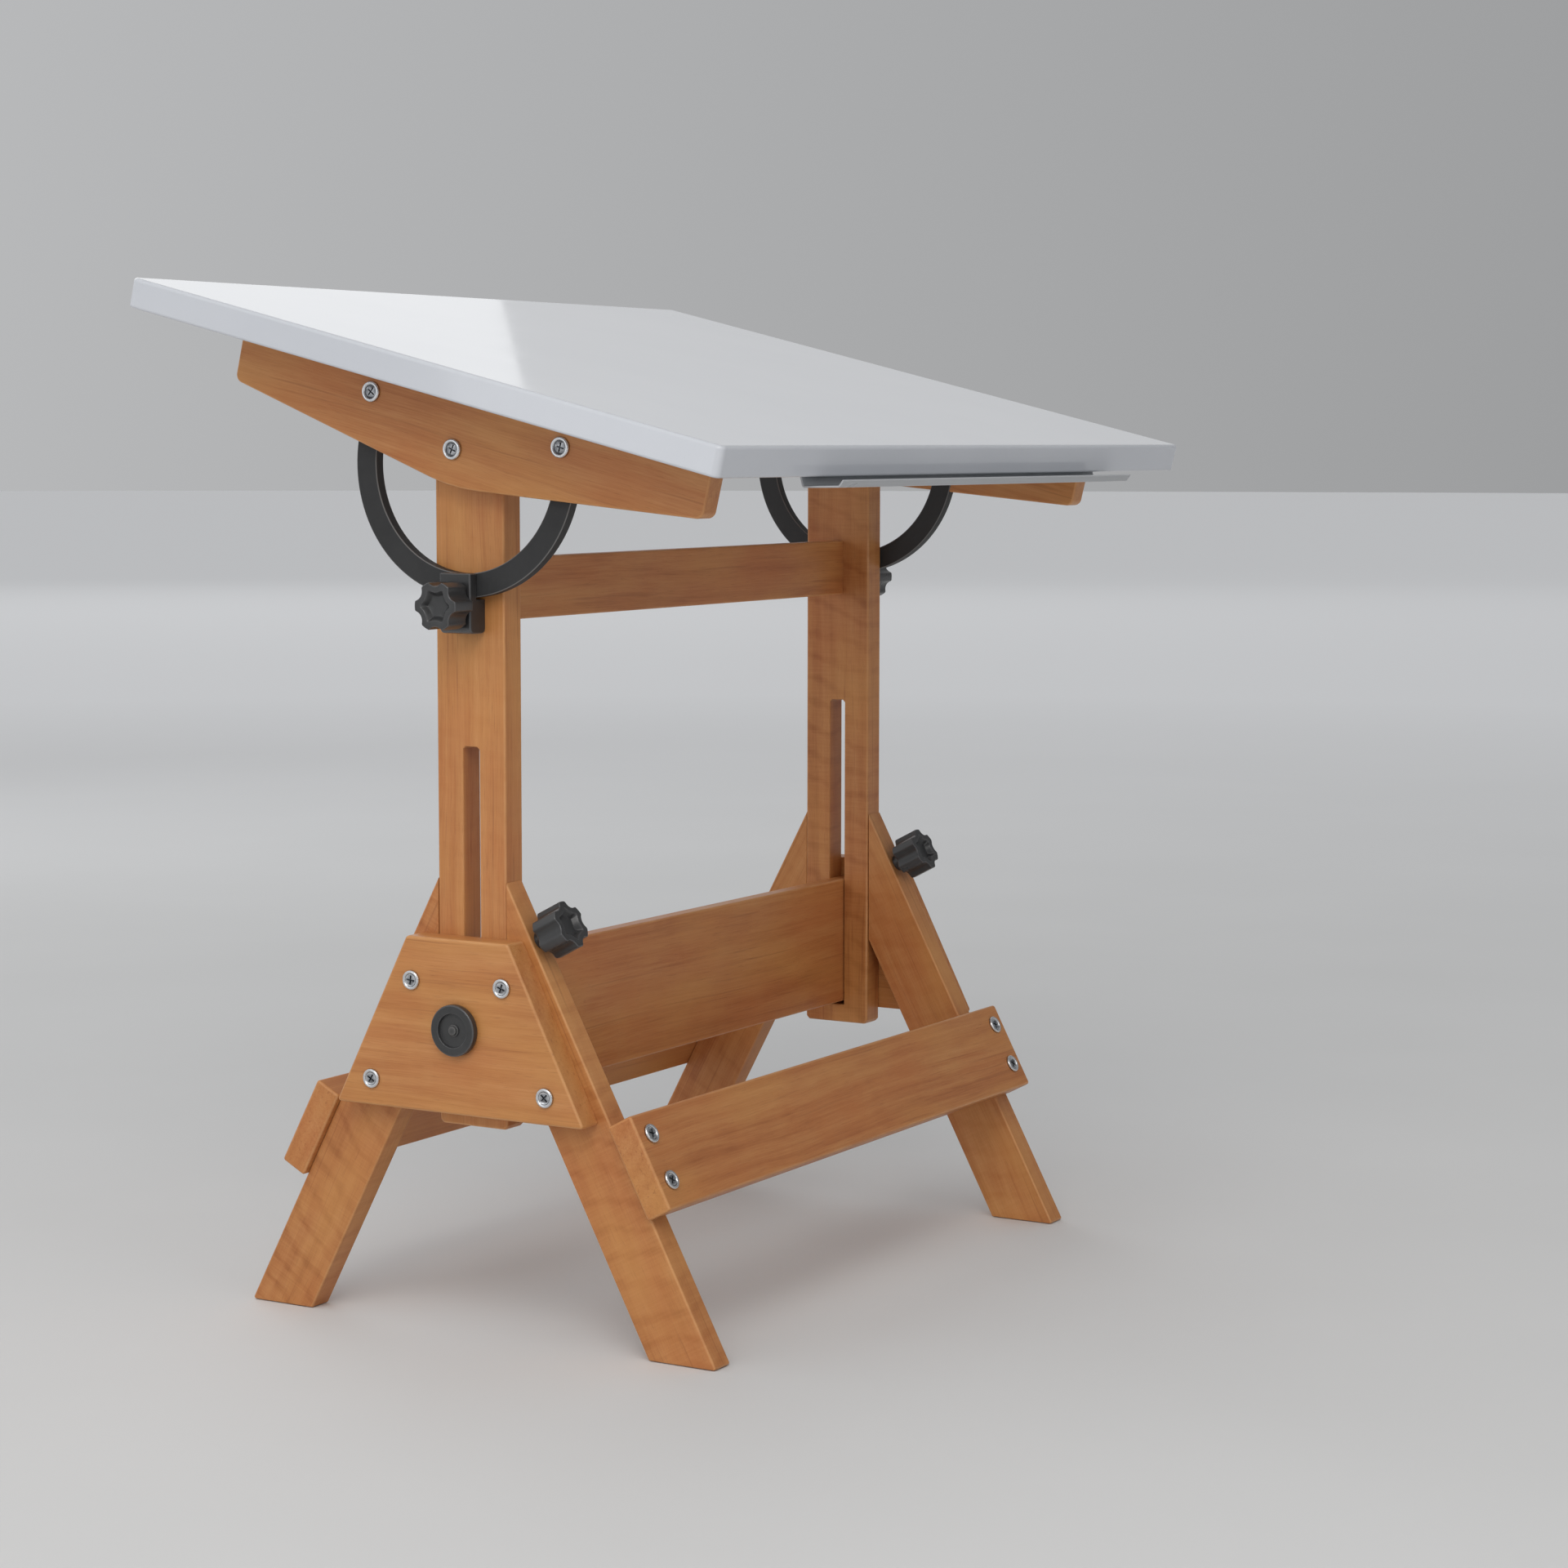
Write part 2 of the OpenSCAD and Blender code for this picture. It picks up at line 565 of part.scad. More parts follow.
// The leg knob sits further off the wood on a longer collar
module knob_body_leg() {
    difference() {
        union() {
            cylinder(r = 10, h = 12);
            translate([0, 0, 10]) knob_body(4 + fit, 12);
        }
        translate([0, 0, -1]) cylinder(r = 4 + fit, h = 23);
    }
}
module leg_knob_right() { leg_knob(); }
module leg_knob_left() { mirror([1, 0, 0]) leg_knob(); }
module leg_stud() {
    color(zinc_c) stand() leg_edge(true) translate([leg_x - leg_t/2, knob_s, -leg_stud_in])
        cylinder(r = 4, h = leg_stud_in + 20);
}
module leg_stud_right() { leg_stud(); }
module leg_stud_left() { mirror([1, 0, 0]) leg_stud(); }

leg_front_left();
leg_rear_left();
leg_front_right();
leg_rear_right();
gusset_left();
gusset_right();
lower_stretcher();
front_rail();
rear_rail();
gusset_screws();
rail_screws();
cap_left();
cap_right();
stretcher_bolts();
stretcher_inserts();
stretcher_dowels();
leg_inserts();
post_left();
post_right();
crossbar();
crossbar_dowels();
clamp_left();
clamp_right();
post_inserts();
pivot_bolts();
pivot_nuts();
pivot_washers();
drawing_board();
cleat_left();
cleat_right();
arc_left();
arc_right();
arc_bolts();
arc_nuts();
cleat_screws();
pencil_tray();
tray_screws();
arc_knob_left();
arc_knob_right();
arc_stud_left();
arc_stud_right();
leg_knob_left();
leg_knob_right();
leg_stud_left();
leg_stud_right();
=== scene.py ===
import math

import bmesh
import bpy
from mathutils import Euler, Matrix, Vector
from mathutils.geometry import tessellate_polygon


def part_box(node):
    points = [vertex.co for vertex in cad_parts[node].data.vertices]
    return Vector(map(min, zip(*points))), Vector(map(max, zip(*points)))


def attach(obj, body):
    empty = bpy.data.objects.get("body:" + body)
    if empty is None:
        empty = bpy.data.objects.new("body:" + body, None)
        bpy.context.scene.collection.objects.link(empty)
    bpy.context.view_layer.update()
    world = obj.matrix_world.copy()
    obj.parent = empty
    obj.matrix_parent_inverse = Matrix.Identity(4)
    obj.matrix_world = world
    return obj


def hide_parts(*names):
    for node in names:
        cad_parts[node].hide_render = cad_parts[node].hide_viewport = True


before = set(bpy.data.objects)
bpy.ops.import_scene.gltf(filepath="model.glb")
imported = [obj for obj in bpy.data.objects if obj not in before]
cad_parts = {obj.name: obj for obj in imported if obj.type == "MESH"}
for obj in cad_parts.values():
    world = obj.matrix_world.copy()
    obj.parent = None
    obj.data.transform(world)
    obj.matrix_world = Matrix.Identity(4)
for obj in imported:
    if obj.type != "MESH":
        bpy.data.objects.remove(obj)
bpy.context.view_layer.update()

# ---------------------------------------------------------------- frames
# Lengths below are millimetres in each part's own frame; every frame matrix brings them to metres.
MM = 0.001
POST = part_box("post_left")
YS = (POST[0].y + POST[1].y) / 2
PIVOT = 0.939
TILT = math.radians(13.6)
SCALE = Matrix.Scale(MM, 4)
STAND = Matrix.Translation((0, YS, 0)) @ SCALE
BOARD = Matrix.Translation((0, YS, PIVOT)) @ Matrix.Rotation(TILT, 4, "X") @ SCALE
LEG_Y, LEG_TOP, FOOT_Y, LEG_W = 44.0, 487.0, 301.5, 73.0
LEG_A = math.asin((FOOT_Y - LEG_Y) / math.hypot(FOOT_Y - LEG_Y, LEG_TOP))


def leg_frame(front):
    flip = Matrix.Diagonal((1, -1 if front else 1, 1, 1))
    edge = Matrix.Translation((0, LEG_Y, LEG_TOP)) @ Matrix.Rotation(LEG_A - math.pi / 2, 4, "X")
    return STAND @ flip @ edge


MIRROR = Matrix.Diagonal((-1, 1, 1, 1))


# ---------------------------------------------------------------- mesh tools
def unit(x, y):
    n = math.hypot(x, y)
    return (x / n, y / n)


def area2(pts):
    return sum(a[0] * b[1] - b[0] * a[1] for a, b in zip(pts, pts[1:] + pts[:1]))


def fillet(poly, radii, weights=None, step=15.0):
    """Rounds a polygon's corners. Returns points, a painted edge highlight along each corner and a rounding weight for
    each edge.
    """
    n = len(poly)
    radii = radii if isinstance(radii, (list, tuple)) else [radii] * n
    weights = weights or [1.0] * n  # weight of the edge that leaves each corner
    pts, edge_light, edge_w = [], [], []
    for i, p in enumerate(poly):
        a, b, r = poly[i - 1], poly[(i + 1) % n], radii[i]
        w_in, w_out = weights[i - 1], weights[i]
        if r <= 0:
            # a sharp corner keeps a faint painted highlight
            pts.append(tuple(p)); edge_light.append(0.35); edge_w.append(w_out)
            continue
        u, v = unit(a[0] - p[0], a[1] - p[1]), unit(b[0] - p[0], b[1] - p[1])
        half = math.acos(max(-1, min(1, u[0] * v[0] + u[1] * v[1]))) / 2
        t = r / math.tan(half)
        bis = unit(u[0] + v[0], u[1] + v[1])
        c = (p[0] + bis[0] * r / math.sin(half), p[1] + bis[1] * r / math.sin(half))
        s = (p[0] + u[0] * t, p[1] + u[1] * t)
        e = (p[0] + v[0] * t, p[1] + v[1] * t)
        a0, a1 = math.atan2(s[1] - c[1], s[0] - c[0]), math.atan2(e[1] - c[1], e[0] - c[0])
        d = (a1 - a0 + math.pi) % (2 * math.pi) - math.pi
        k = max(2, round(abs(math.degrees(d)) / step))
        # small radii get a painted highlight along the corner, peaking at its middle; wide blends get none
        sharp = r < 20
        for j in range(k + 1):
            q = a0 + d * j / k
            pts.append((c[0] + r * math.cos(q), c[1] + r * math.sin(q)))
            edge_light.append(math.sin(math.pi * j / k) if sharp else 0.0)
            edge_w.append(w_out if j == k else w_in + (w_out - w_in) * (j + 0.5) / k)
    return pts, edge_light, edge_w


def inset(pts, edge_w, d):
    """Moves each edge of a contour into the material (to its left) by d times its weight."""
    if d == 0:
        return list(pts)
    n, out = len(pts), []
    for i in range(n):
        p, a, b = pts[i], pts[i - 1], pts[(i + 1) % n]
        u, v = unit(p[0] - a[0], p[1] - a[1]), unit(b[0] - p[0], b[1] - p[1])
        n1, n2 = (-u[1], u[0]), (-v[1], v[0])
        d1, d2 = d * edge_w[i - 1], d * edge_w[i]
        if u[0] * v[0] + u[1] * v[1] > 0.8:
            m = unit(n1[0] + n2[0], n1[1] + n2[1])
            k = (d1 + d2) / 2 / (m[0] * n1[0] + m[1] * n1[1])
            out.append((p[0] + m[0] * k, p[1] + m[1] * k))
        else:
            det = n1[0] * n2[1] - n1[1] * n2[0]
            out.append((p[0] + (d1 * n2[1] - d2 * n1[1]) / det, p[1] + (d2 * n1[0] - d1 * n2[0]) / det))
    return out


def new_bm():
    bm = bmesh.new()
    # per-vertex mask of painted highlight: high on rounded edges and rims, low on flats and in recesses
    bm.verts.layers.float.new("edge_light")
    return bm


def loft(bm, levels, place, caps=(True, True)):
    """levels: a list of levels, each a list of contours [(points, painted edge highlight)], all with the same counts,
    at height h.
    """
    layer = bm.verts.layers.float["edge_light"]
    rings = []
    for h, contours in levels:
        row = []
        for pts, edge_light in contours:
            ring = []
            for (a, b), w in zip(pts, edge_light):
                v = bm.verts.new(place(a, b, h))
                v[layer] = w
                ring.append(v)
            row.append(ring)
        rings.append(row)
    for lo, hi in zip(rings, rings[1:]):
        for r0, r1 in zip(lo, hi):
            n = len(r0)
            for i in range(n):
                bm.faces.new((r0[i], r0[(i + 1) % n], r1[(i + 1) % n], r1[i]))
    for on, row, level in ((caps[0], rings[0], levels[0]), (caps[1], rings[-1], levels[-1])):
        if not on:
            continue
        flat = [v for ring in row for v in ring]
        loops = [[Vector((a, b, 0)) for a, b in pts] for pts, _ in level[1]]
        for tri in tessellate_polygon(loops):
            if len(set(tri)) == 3:
                try:
                    bm.faces.new([flat[i] for i in tri])
                except ValueError:
                    pass


def prism(bm, outer, holes, h0, h1, r, place, r0=None, segs=3):
    """A section drawn from h0 to h1 with its edges rounded by r (r0 at h0). Contours are (points, painted edge
    highlight, edge weights).
    """
    r0 = r if r0 is None else r0
    contours = []
    for k, (pts, edge_light, ew) in enumerate([outer] + list(holes)):
        if (area2(pts) > 0) != (k == 0):
            pts, edge_light = pts[::-1], edge_light[::-1]
            ew = ew[::-1][1:] + ew[::-1][:1]
        contours.append((pts, edge_light, ew))
    steps = []
    for i in range(segs + 1):
        t = math.pi / 2 * i / segs
        # the third value is the painted highlight on the rounded edge, strongest at its middle
        steps.append((1 - math.cos(t), 1 - math.sin(t), math.sin(2 * t)))
    levels = []
    if r0 > 0:
        levels += [(h0 + r0 * dz, r0 * d, e) for d, dz, e in reversed(steps)]
    else:
        levels.append((h0, 0.0, 0.0))
    if r > 0:
        levels += [(h1 - r * dz, r * d, e) for d, dz, e in steps]
    else:
        levels.append((h1, 0.0, 0.0))
    last = len(levels) - 1
    # end rings carry no painted highlight; rounded rings take the larger of the corner and edge highlight
    made = [(h, [(inset(p, ew, d), [0.0] * len(p) if i in (0, last) else [max(w, e) for w in edge_light]) for p, edge_light, ew in contours])
            for i, (h, d, e) in enumerate(levels)]
    loft(bm, made, place)


def lathe(bm, profile, place, n=48, close=True):
    """profile: (radius, height, painted edge highlight) from the bottom of the axis to its top."""
    layer = bm.verts.layers.float["edge_light"]
    rings = []
    for r, h, w in profile:
        if r < 1e-6:
            v = bm.verts.new(place(0, 0, h)); v[layer] = w
            rings.append([v])
            continue
        ring = []
        for i in range(n):
            q = 2 * math.pi * i / n
            v = bm.verts.new(place(r * math.cos(q), r * math.sin(q), h)); v[layer] = w
            ring.append(v)
        rings.append(ring)
    for lo, hi in zip(rings, rings[1:]):
        for i in range(n):
            j = (i + 1) % n
            if len(lo) == 1:
                bm.faces.new((lo[0], hi[j], hi[i]))
            elif len(hi) == 1:
                bm.faces.new((lo[i], lo[j], hi[0]))
            else:
                bm.faces.new((lo[i], lo[j], hi[j], hi[i]))


def round_corner(r0, h0, r1, h1, r2, h2, radius, k=4):
    """A lathe profile's corner at (r1, h1), rounded, with a painted edge highlight strongest at the middle of the
    corner.
    """
    u, v = unit(r0 - r1, h0 - h1), unit(r2 - r1, h2 - h1)
    half = math.acos(u[0] * v[0] + u[1] * v[1]) / 2
    t = radius / math.tan(half)
    bis = unit(u[0] + v[0], u[1] + v[1])
    c = (r1 + bis[0] * radius / math.sin(half), h1 + bis[1] * radius / math.sin(half))
    s, e = (r1 + u[0] * t, h1 + u[1] * t), (r1 + v[0] * t, h1 + v[1] * t)
    a0, a1 = math.atan2(s[1] - c[1], s[0] - c[0]), math.atan2(e[1] - c[1], e[0] - c[0])
    d = (a1 - a0 + math.pi) % (2 * math.pi) - math.pi
    return [(c[0] + radius * math.cos(a0 + d * j / k), c[1] + radius * math.sin(a0 + d * j / k), math.sin(math.pi * j / k))
            for j in range(k + 1)]


def finish_piece(bm, name, body, node, mat, smooth=38.0, weighted=True):
    """Welds, orients and shades a mesh, and makes it the piece that stands for a node."""
    bmesh.ops.remove_doubles(bm, verts=bm.verts, dist=2e-6)
    bmesh.ops.dissolve_degenerate(bm, dist=1e-7, edges=bm.edges)
    loose = [v for v in bm.verts if not v.link_faces]
    bmesh.ops.delete(bm, geom=loose, context="VERTS")
    bmesh.ops.recalc_face_normals(bm, faces=bm.faces)
    mesh = bpy.data.meshes.new(name)
    bm.to_mesh(mesh)
    bm.free()
    mesh.polygons.foreach_set("use_smooth", [True] * len(mesh.polygons))
    mesh.set_sharp_from_angle(angle=math.radians(smooth))
    obj = bpy.data.objects.new(name, mesh)
    bpy.context.scene.collection.objects.link(obj)
    mesh.materials.append(mat)
    if weighted:
        m = obj.modifiers.new("flat_faces", "WEIGHTED_NORMAL")
        m.keep_sharp = True
        m.weight = 60
    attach(obj, body)
    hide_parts(node)
    return obj


# ---------------------------------------------------------------- material tools
class Tree:
    def __init__(self, name):
        self.mat = bpy.data.materials.new(name)
        self.mat.use_nodes = True
        self.tree = self.mat.node_tree
        self.tree.nodes.clear()
        self.out = self.node("ShaderNodeOutputMaterial")
        self.bsdf = self.node("ShaderNodeBsdfPrincipled")
        self.link(self.bsdf.outputs["BSDF"], self.out.inputs["Surface"])
        self.coord = self.node("ShaderNodeTexCoord")

    def node(self, kind, **values):
        n = self.tree.nodes.new(kind)
        for k, v in values.items():
            setattr(n, k, v)
        return n

    def link(self, a, b):
        self.tree.links.new(a, b)

    def mapping(self, source, rotation=(0, 0, 0), scale=(1, 1, 1), location=(0, 0, 0)):
        m = self.node("ShaderNodeMapping")
        m.inputs["Rotation"].default_value = rotation
        m.inputs["Scale"].default_value = scale
        m.inputs["Location"].default_value = location
        self.link(source, m.inputs["Vector"])
        return m.outputs["Vector"]

    def noise(self, vector, scale=1.0, detail=3.0, rough=0.5, distort=0.0, dims="3D"):
        n = self.node("ShaderNodeTexNoise", noise_dimensions=dims)
        n.inputs["Scale"].default_value = scale
        n.inputs["Detail"].default_value = detail
        n.inputs["Roughness"].default_value = rough
        n.inputs["Distortion"].default_value = distort
        self.link(vector, n.inputs["Vector"])
        return n.outputs["Fac"]

    def math(self, op, a, b=None, c=None, clamp=False):
        n = self.node("ShaderNodeMath", operation=op, use_clamp=clamp)
        for i, v in enumerate((a, b, c)):
            if v is None:
                continue
            if isinstance(v, (int, float)):
                n.inputs[i].default_value = v
            else:
                self.link(v, n.inputs[i])
        return n.outputs[0]

    def ranged(self, value, a, b, c, d):
        n = self.node("ShaderNodeMapRange")
        n.clamp = True
        self.link(value, n.inputs["Value"])
        for key, v in zip(("From Min", "From Max", "To Min", "To Max"), (a, b, c, d)):
            n.inputs[key].default_value = v
        return n.outputs["Result"]

    def ramp(self, value, stops):
        n = self.node("ShaderNodeValToRGB")
        e = n.color_ramp.elements
        while len(e) < len(stops):
            e.new(0.5)
        for el, (pos, col) in zip(e, stops):
            el.position = pos
            el.color = (*col, 1)
        self.link(value, n.inputs["Fac"])
        return n.outputs["Color"]

    def mix(self, factor, a, b, blend="MIX"):
        n = self.node("ShaderNodeMix", data_type="RGBA", blend_type=blend)
        for key, v in ((0, factor), (6, a), (7, b)):
            if isinstance(v, tuple):
                n.inputs[key].default_value = (*v, 1)
            elif isinstance(v, (int, float)):
                n.inputs[key].default_value = v
            else:
                self.link(v, n.inputs[key])
        return n.outputs[2]

    def edge_light(self):
        # the per-vertex painted edge highlight mask
        a = self.node("ShaderNodeAttribute", attribute_name="edge_light", attribute_type="GEOMETRY")
        return a.outputs["Fac"]

    def bump(self, height, strength, distance, under=None):
        b = self.node("ShaderNodeBump")
        b.inputs["Strength"].default_value = strength
        b.inputs["Distance"].default_value = distance
        self.link(height, b.inputs["Height"])
        if under is not None:
            self.link(under, b.inputs["Normal"])
        return b.outputs["Normal"]

    def set(self, **values):
        for k, v in values.items():
            socket = self.bsdf.inputs[k.replace("_", " ")]
            if isinstance(v, (int, float)):
                socket.default_value = v
            elif isinstance(v, tuple):
                socket.default_value = (*v, 1)
            else:
                self.link(v, socket)


def wood(name, rotation, seed, tone_and_shade=0.0, redness_and_shade=0.0, figure=0.0, edge=1.0, curl=0.0):
    """Varnished cherry. rotation turns the piece's grain onto X; seed moves it to its own part of the pattern; curl
    adds figure across the grain; tone and red make a piece darker and redder, partly its own tone and partly painted
    shade for pieces that stand in shade.
    """
    t = Tree(name)
    p = t.mapping(t.coord.outputs["Object"], rotation=rotation, location=(seed * 0.731, seed * 1.37, seed * 0.93))
    # slow wander of the grain, so that no line is ruled
    wander = t.node("ShaderNodeTexNoise")
    wander.inputs["Scale"].default_value = 1.0
    wander.inputs["Detail"].default_value = 2.0
    t.link(t.mapping(p, scale=(3.2, 9.0, 9.0)), wander.inputs["Vector"])
    shift = t.node("ShaderNodeVectorMath", operation="MULTIPLY_ADD")
    t.link(wander.outputs["Color"], shift.inputs[0])
    shift.inputs[1].default_value = (0.0, 0.016, 0.016)
    t.link(p, shift.inputs[2])
    q = shift.outputs["Vector"]

    broad = t.noise(t.mapping(q, scale=(1.6, 17.0, 17.0)), detail=3.0, rough=0.55)
    streak = t.noise(t.mapping(q, scale=(5.0, 230.0, 230.0)), detail=5.0, rough=0.66)
    hair = t.noise(t.mapping(q, scale=(16.0, 720.0, 720.0)), detail=3.0, rough=0.7)
    ring = t.node("ShaderNodeTexWave", wave_type="RINGS", rings_direction="X", wave_profile="SIN")
    for key, v in (("Scale", 17.0), ("Distortion", 5.0), ("Detail", 3.0), ("Detail Scale", 1.1), ("Detail Roughness", 0.6)):
        ring.inputs[key].default_value = v
    t.link(t.mapping(q, scale=(0.35, 1.0, 1.0), location=(0, 0.09, 0.05)), ring.inputs["Vector"])
    rings = ring.outputs["Fac"]
    blotch = t.noise(t.mapping(p, scale=(9.0, 16.0, 16.0), location=(4.1, 2.2, 7.3)), detail=3.0, rough=0.5)
    cross = t.noise(t.mapping(p, rotation=(0.3, 0.2, 0.5), scale=(34.0, 7.0, 7.0), location=(1.7, 0.4, 2.9)), detail=2.0, rough=0.5)

    f = t.math("MULTIPLY", t.ranged(broad, 0.28, 0.72, 0.0, 1.0), 0.24)
    f = t.math("ADD", f, t.math("MULTIPLY", t.ranged(streak, 0.25, 0.75, 0.0, 1.0), 0.34 - 0.20 * curl))
    f = t.math("ADD", f, t.math("MULTIPLY", rings, 0.12))
    f = t.math("ADD", f, t.math("MULTIPLY", t.ranged(hair, 0.25, 0.75, 0.0, 1.0), 0.22 - 0.12 * curl))
    f = t.math("ADD", f, t.math("MULTIPLY", t.ranged(cross, 0.3, 0.7, 0.0, 1.0), 0.05 + 0.10 * figure))
    # tone: the piece's own tone plus painted shade, lower for pieces in shade
    f = t.math("ADD", f, tone_and_shade + 0.11 * curl)
    if curl > 0:
        band = t.node("ShaderNodeTexWave", wave_type="BANDS", bands_direction="X", wave_profile="SIN")
        for key, v in (("Scale", 11.0), ("Distortion", 5.0), ("Detail", 3.0), ("Detail Scale", 1.1), ("Detail Roughness", 0.60)):
            band.inputs[key].default_value = v
        t.link(t.mapping(p, rotation=(0.0, 0.22, 0.30), location=(0.3, 0.1, 0.7)), band.inputs["Vector"])
        lines = t.ranged(band.outputs["Fac"], 0.66, 1.0, 0.0, 1.0)
        fine = t.noise(t.mapping(p, rotation=(0.0, 0.22, 0.30), scale=(420.0, 24.0, 24.0)), detail=3.0, rough=0.6)
        f = t.math("SUBTRACT", f, t.math("MULTIPLY", lines, 0.15 * curl))
        f = t.math("SUBTRACT", f, t.math("MULTIPLY", t.ranged(fine, 0.35, 0.70, 0.0, 1.0), 0.14 * curl))

    # red warms the darkest stops: painted warm shade for pieces in shade
    base = t.ramp(f, [
        (0.10, (0.318 + redness_and_shade * 0.03, 0.105, 0.030)),
        (0.38, (0.452 + redness_and_shade * 0.02, 0.176, 0.056)),
        (0.60, (0.530, 0.232, 0.080)),
        (0.90, (0.640, 0.322, 0.128)),
    ])
    # redder and yellower blotches under the varnish
    base = t.mix(t.ranged(blotch, 0.42, 0.78, 0.0, 0.42), base, (0.500, 0.160, 0.048))
    yellow = t.noise(t.mapping(p, scale=(5.0, 14.0, 14.0), location=(9.1, 5.2, 0.3)), detail=2.0)
    base = t.mix(t.ranged(yellow, 0.42, 0.74, 0.0, 0.50), base, (0.610, 0.300, 0.088))
    # dark pores: short dashes along the grain
    pore = t.noise(t.mapping(q, scale=(42.0, 1500.0, 1500.0), location=(0, 3.3, 1.1)), detail=2.0, rough=0.6)
    pores = t.ranged(pore, 0.60, 0.74, 0.0, 1.0)
    base = t.mix(t.math("MULTIPLY", pores, 0.34), base, (0.190, 0.062, 0.022))
    # a few long dark mineral streaks
    line = t.noise(t.mapping(q, scale=(2.4, 230.0, 230.0), location=(2.0, 8.8, 4.4)), detail=2.0, rough=0.5)
    base = t.mix(t.ranged(line, 0.62, 0.72, 0.0, 0.38), base, (0.270, 0.085, 0.028))
    # painted highlight on the rounded edges: paler where light catches the bevel, broken up in patches
    highlight_patch = t.noise(t.mapping(p, scale=(30.0, 30.0, 30.0), location=(6.6, 1.1, 3.9)), detail=4.0, rough=0.6)
    edge_highlight = t.math("MULTIPLY", t.edge_light(), t.ranged(highlight_patch, 0.30, 0.66, 0.35, 1.0))
    # edge scales this painted highlight for each piece
    base = t.mix(t.math("MULTIPLY", edge_highlight, 0.42 * edge), base, (0.760, 0.430, 0.200))

    rough = t.ranged(t.math("ADD", t.math("MULTIPLY", blotch, 0.6), t.math("MULTIPLY", streak, 0.4)), 0.3, 0.7, 0.34, 0.50)
    rough = t.math("ADD", rough, t.math("MULTIPLY", pores, 0.10))
    height = t.math("ADD", t.math("MULTIPLY", hair, 0.5), t.math("MULTIPLY", pores, -0.9))
    height = t.math("ADD", height, t.math("MULTIPLY", streak, 0.5))
    n = t.bump(height, 0.35, 0.00022)
    ripple = t.noise(t.mapping(p, scale=(20.0, 55.0, 55.0), location=(3.0, 3.0, 3.0)), detail=1.0)
    n = t.bump(ripple, 0.18, 0.0006, n)
    t.set(Base_Color=base, Roughness=rough, Normal=n, Coat_Weight=0.12, Coat_Roughness=0.24, IOR=1.48)
    t.bsdf.inputs["Specular IOR Level"].default_value = 0.30
    return t.mat


def lacquer():
    """The board's pale sprayed lacquer: faint orange peel, handling haze and small scuffs."""
    t = Tree("board_lacquer")
    p = t.coord.outputs["Object"]
    cloud = t.noise(t.mapping(p, scale=(3.1, 3.1, 3.1)), detail=3.0, rough=0.5)
    base = t.ramp(cloud, [(0.30, (0.555, 0.575, 0.618)), (0.55, (0.580, 0.599, 0.640)), (0.80, (0.602, 0.620, 0.660))])
    speck = t.noise(t.mapping(p, scale=(420.0, 420.0, 420.0)), detail=2.0)
    base = t.mix(t.ranged(speck, 0.64, 0.74, 0.0, 0.10), base, (0.380, 0.400, 0.450))
    # painted highlight: paler along the board's rounded edges
    base = t.mix(t.math("MULTIPLY", t.edge_light(), 0.30), base, (0.660, 0.680, 0.720))
    haze = t.noise(t.mapping(p, scale=(7.0, 11.0, 9.0), location=(2.2, 0, 0)), detail=4.0, rough=0.5)
    scuff = t.noise(t.mapping(p, rotation=(0, 0, 0.6), scale=(30.0, 420.0, 60.0)), detail=2.0, rough=0.5)
    rough = t.math("ADD", t.ranged(haze, 0.30, 0.70, 0.03, 0.06), t.math("MULTIPLY", t.ranged(scuff, 0.72, 0.82, 0.0, 1.0), 0.08))
    peel = t.noise(t.mapping(p, scale=(260.0, 260.0, 260.0)), detail=2.0, rough=0.5)
    n = t.bump(peel, 0.02, 0.00006)
    t.set(Base_Color=base, Roughness=rough, Normal=n, Coat_Weight=0.15, Coat_Roughness=0.03, IOR=1.48)
    return t.mat


def tray_plastic():
    t = Tree("tray_plastic")
    p = t.coord.outputs["Object"]
    drawn = t.noise(t.mapping(p, scale=(3.0, 260.0, 260.0)), detail=3.0, rough=0.6)
    cloud = t.noise(t.mapping(p, scale=(9.0, 30.0, 30.0), location=(1.0, 2.0, 3.0)), detail=2.0)
    base = t.ramp(t.math("ADD", t.math("MULTIPLY", drawn, 0.5), t.math("MULTIPLY", cloud, 0.5)),
                  [(0.30, (0.375, 0.390, 0.408)), (0.52, (0.415, 0.430, 0.448)), (0.75, (0.455, 0.470, 0.487))])
    grit = t.noise(t.mapping(p, scale=(150.0, 150.0, 150.0)), detail=3.0)
    base = t.mix(t.ranged(grit, 0.62, 0.74, 0.0, 0.16), base, (0.330, 0.350, 0.380))
    # painted highlight: paler along the tray's rounded bends and edges
    base = t.mix(t.math("MULTIPLY", t.edge_light(), 0.40), base, (0.600, 0.615, 0.630))
    rough = t.ranged(cloud, 0.3, 0.7, 0.26, 0.40)
    n = t.bump(drawn, 0.16, 0.00015)
    t.set(Base_Color=base, Roughness=rough, Normal=n, IOR=1.50)
    return t.mat


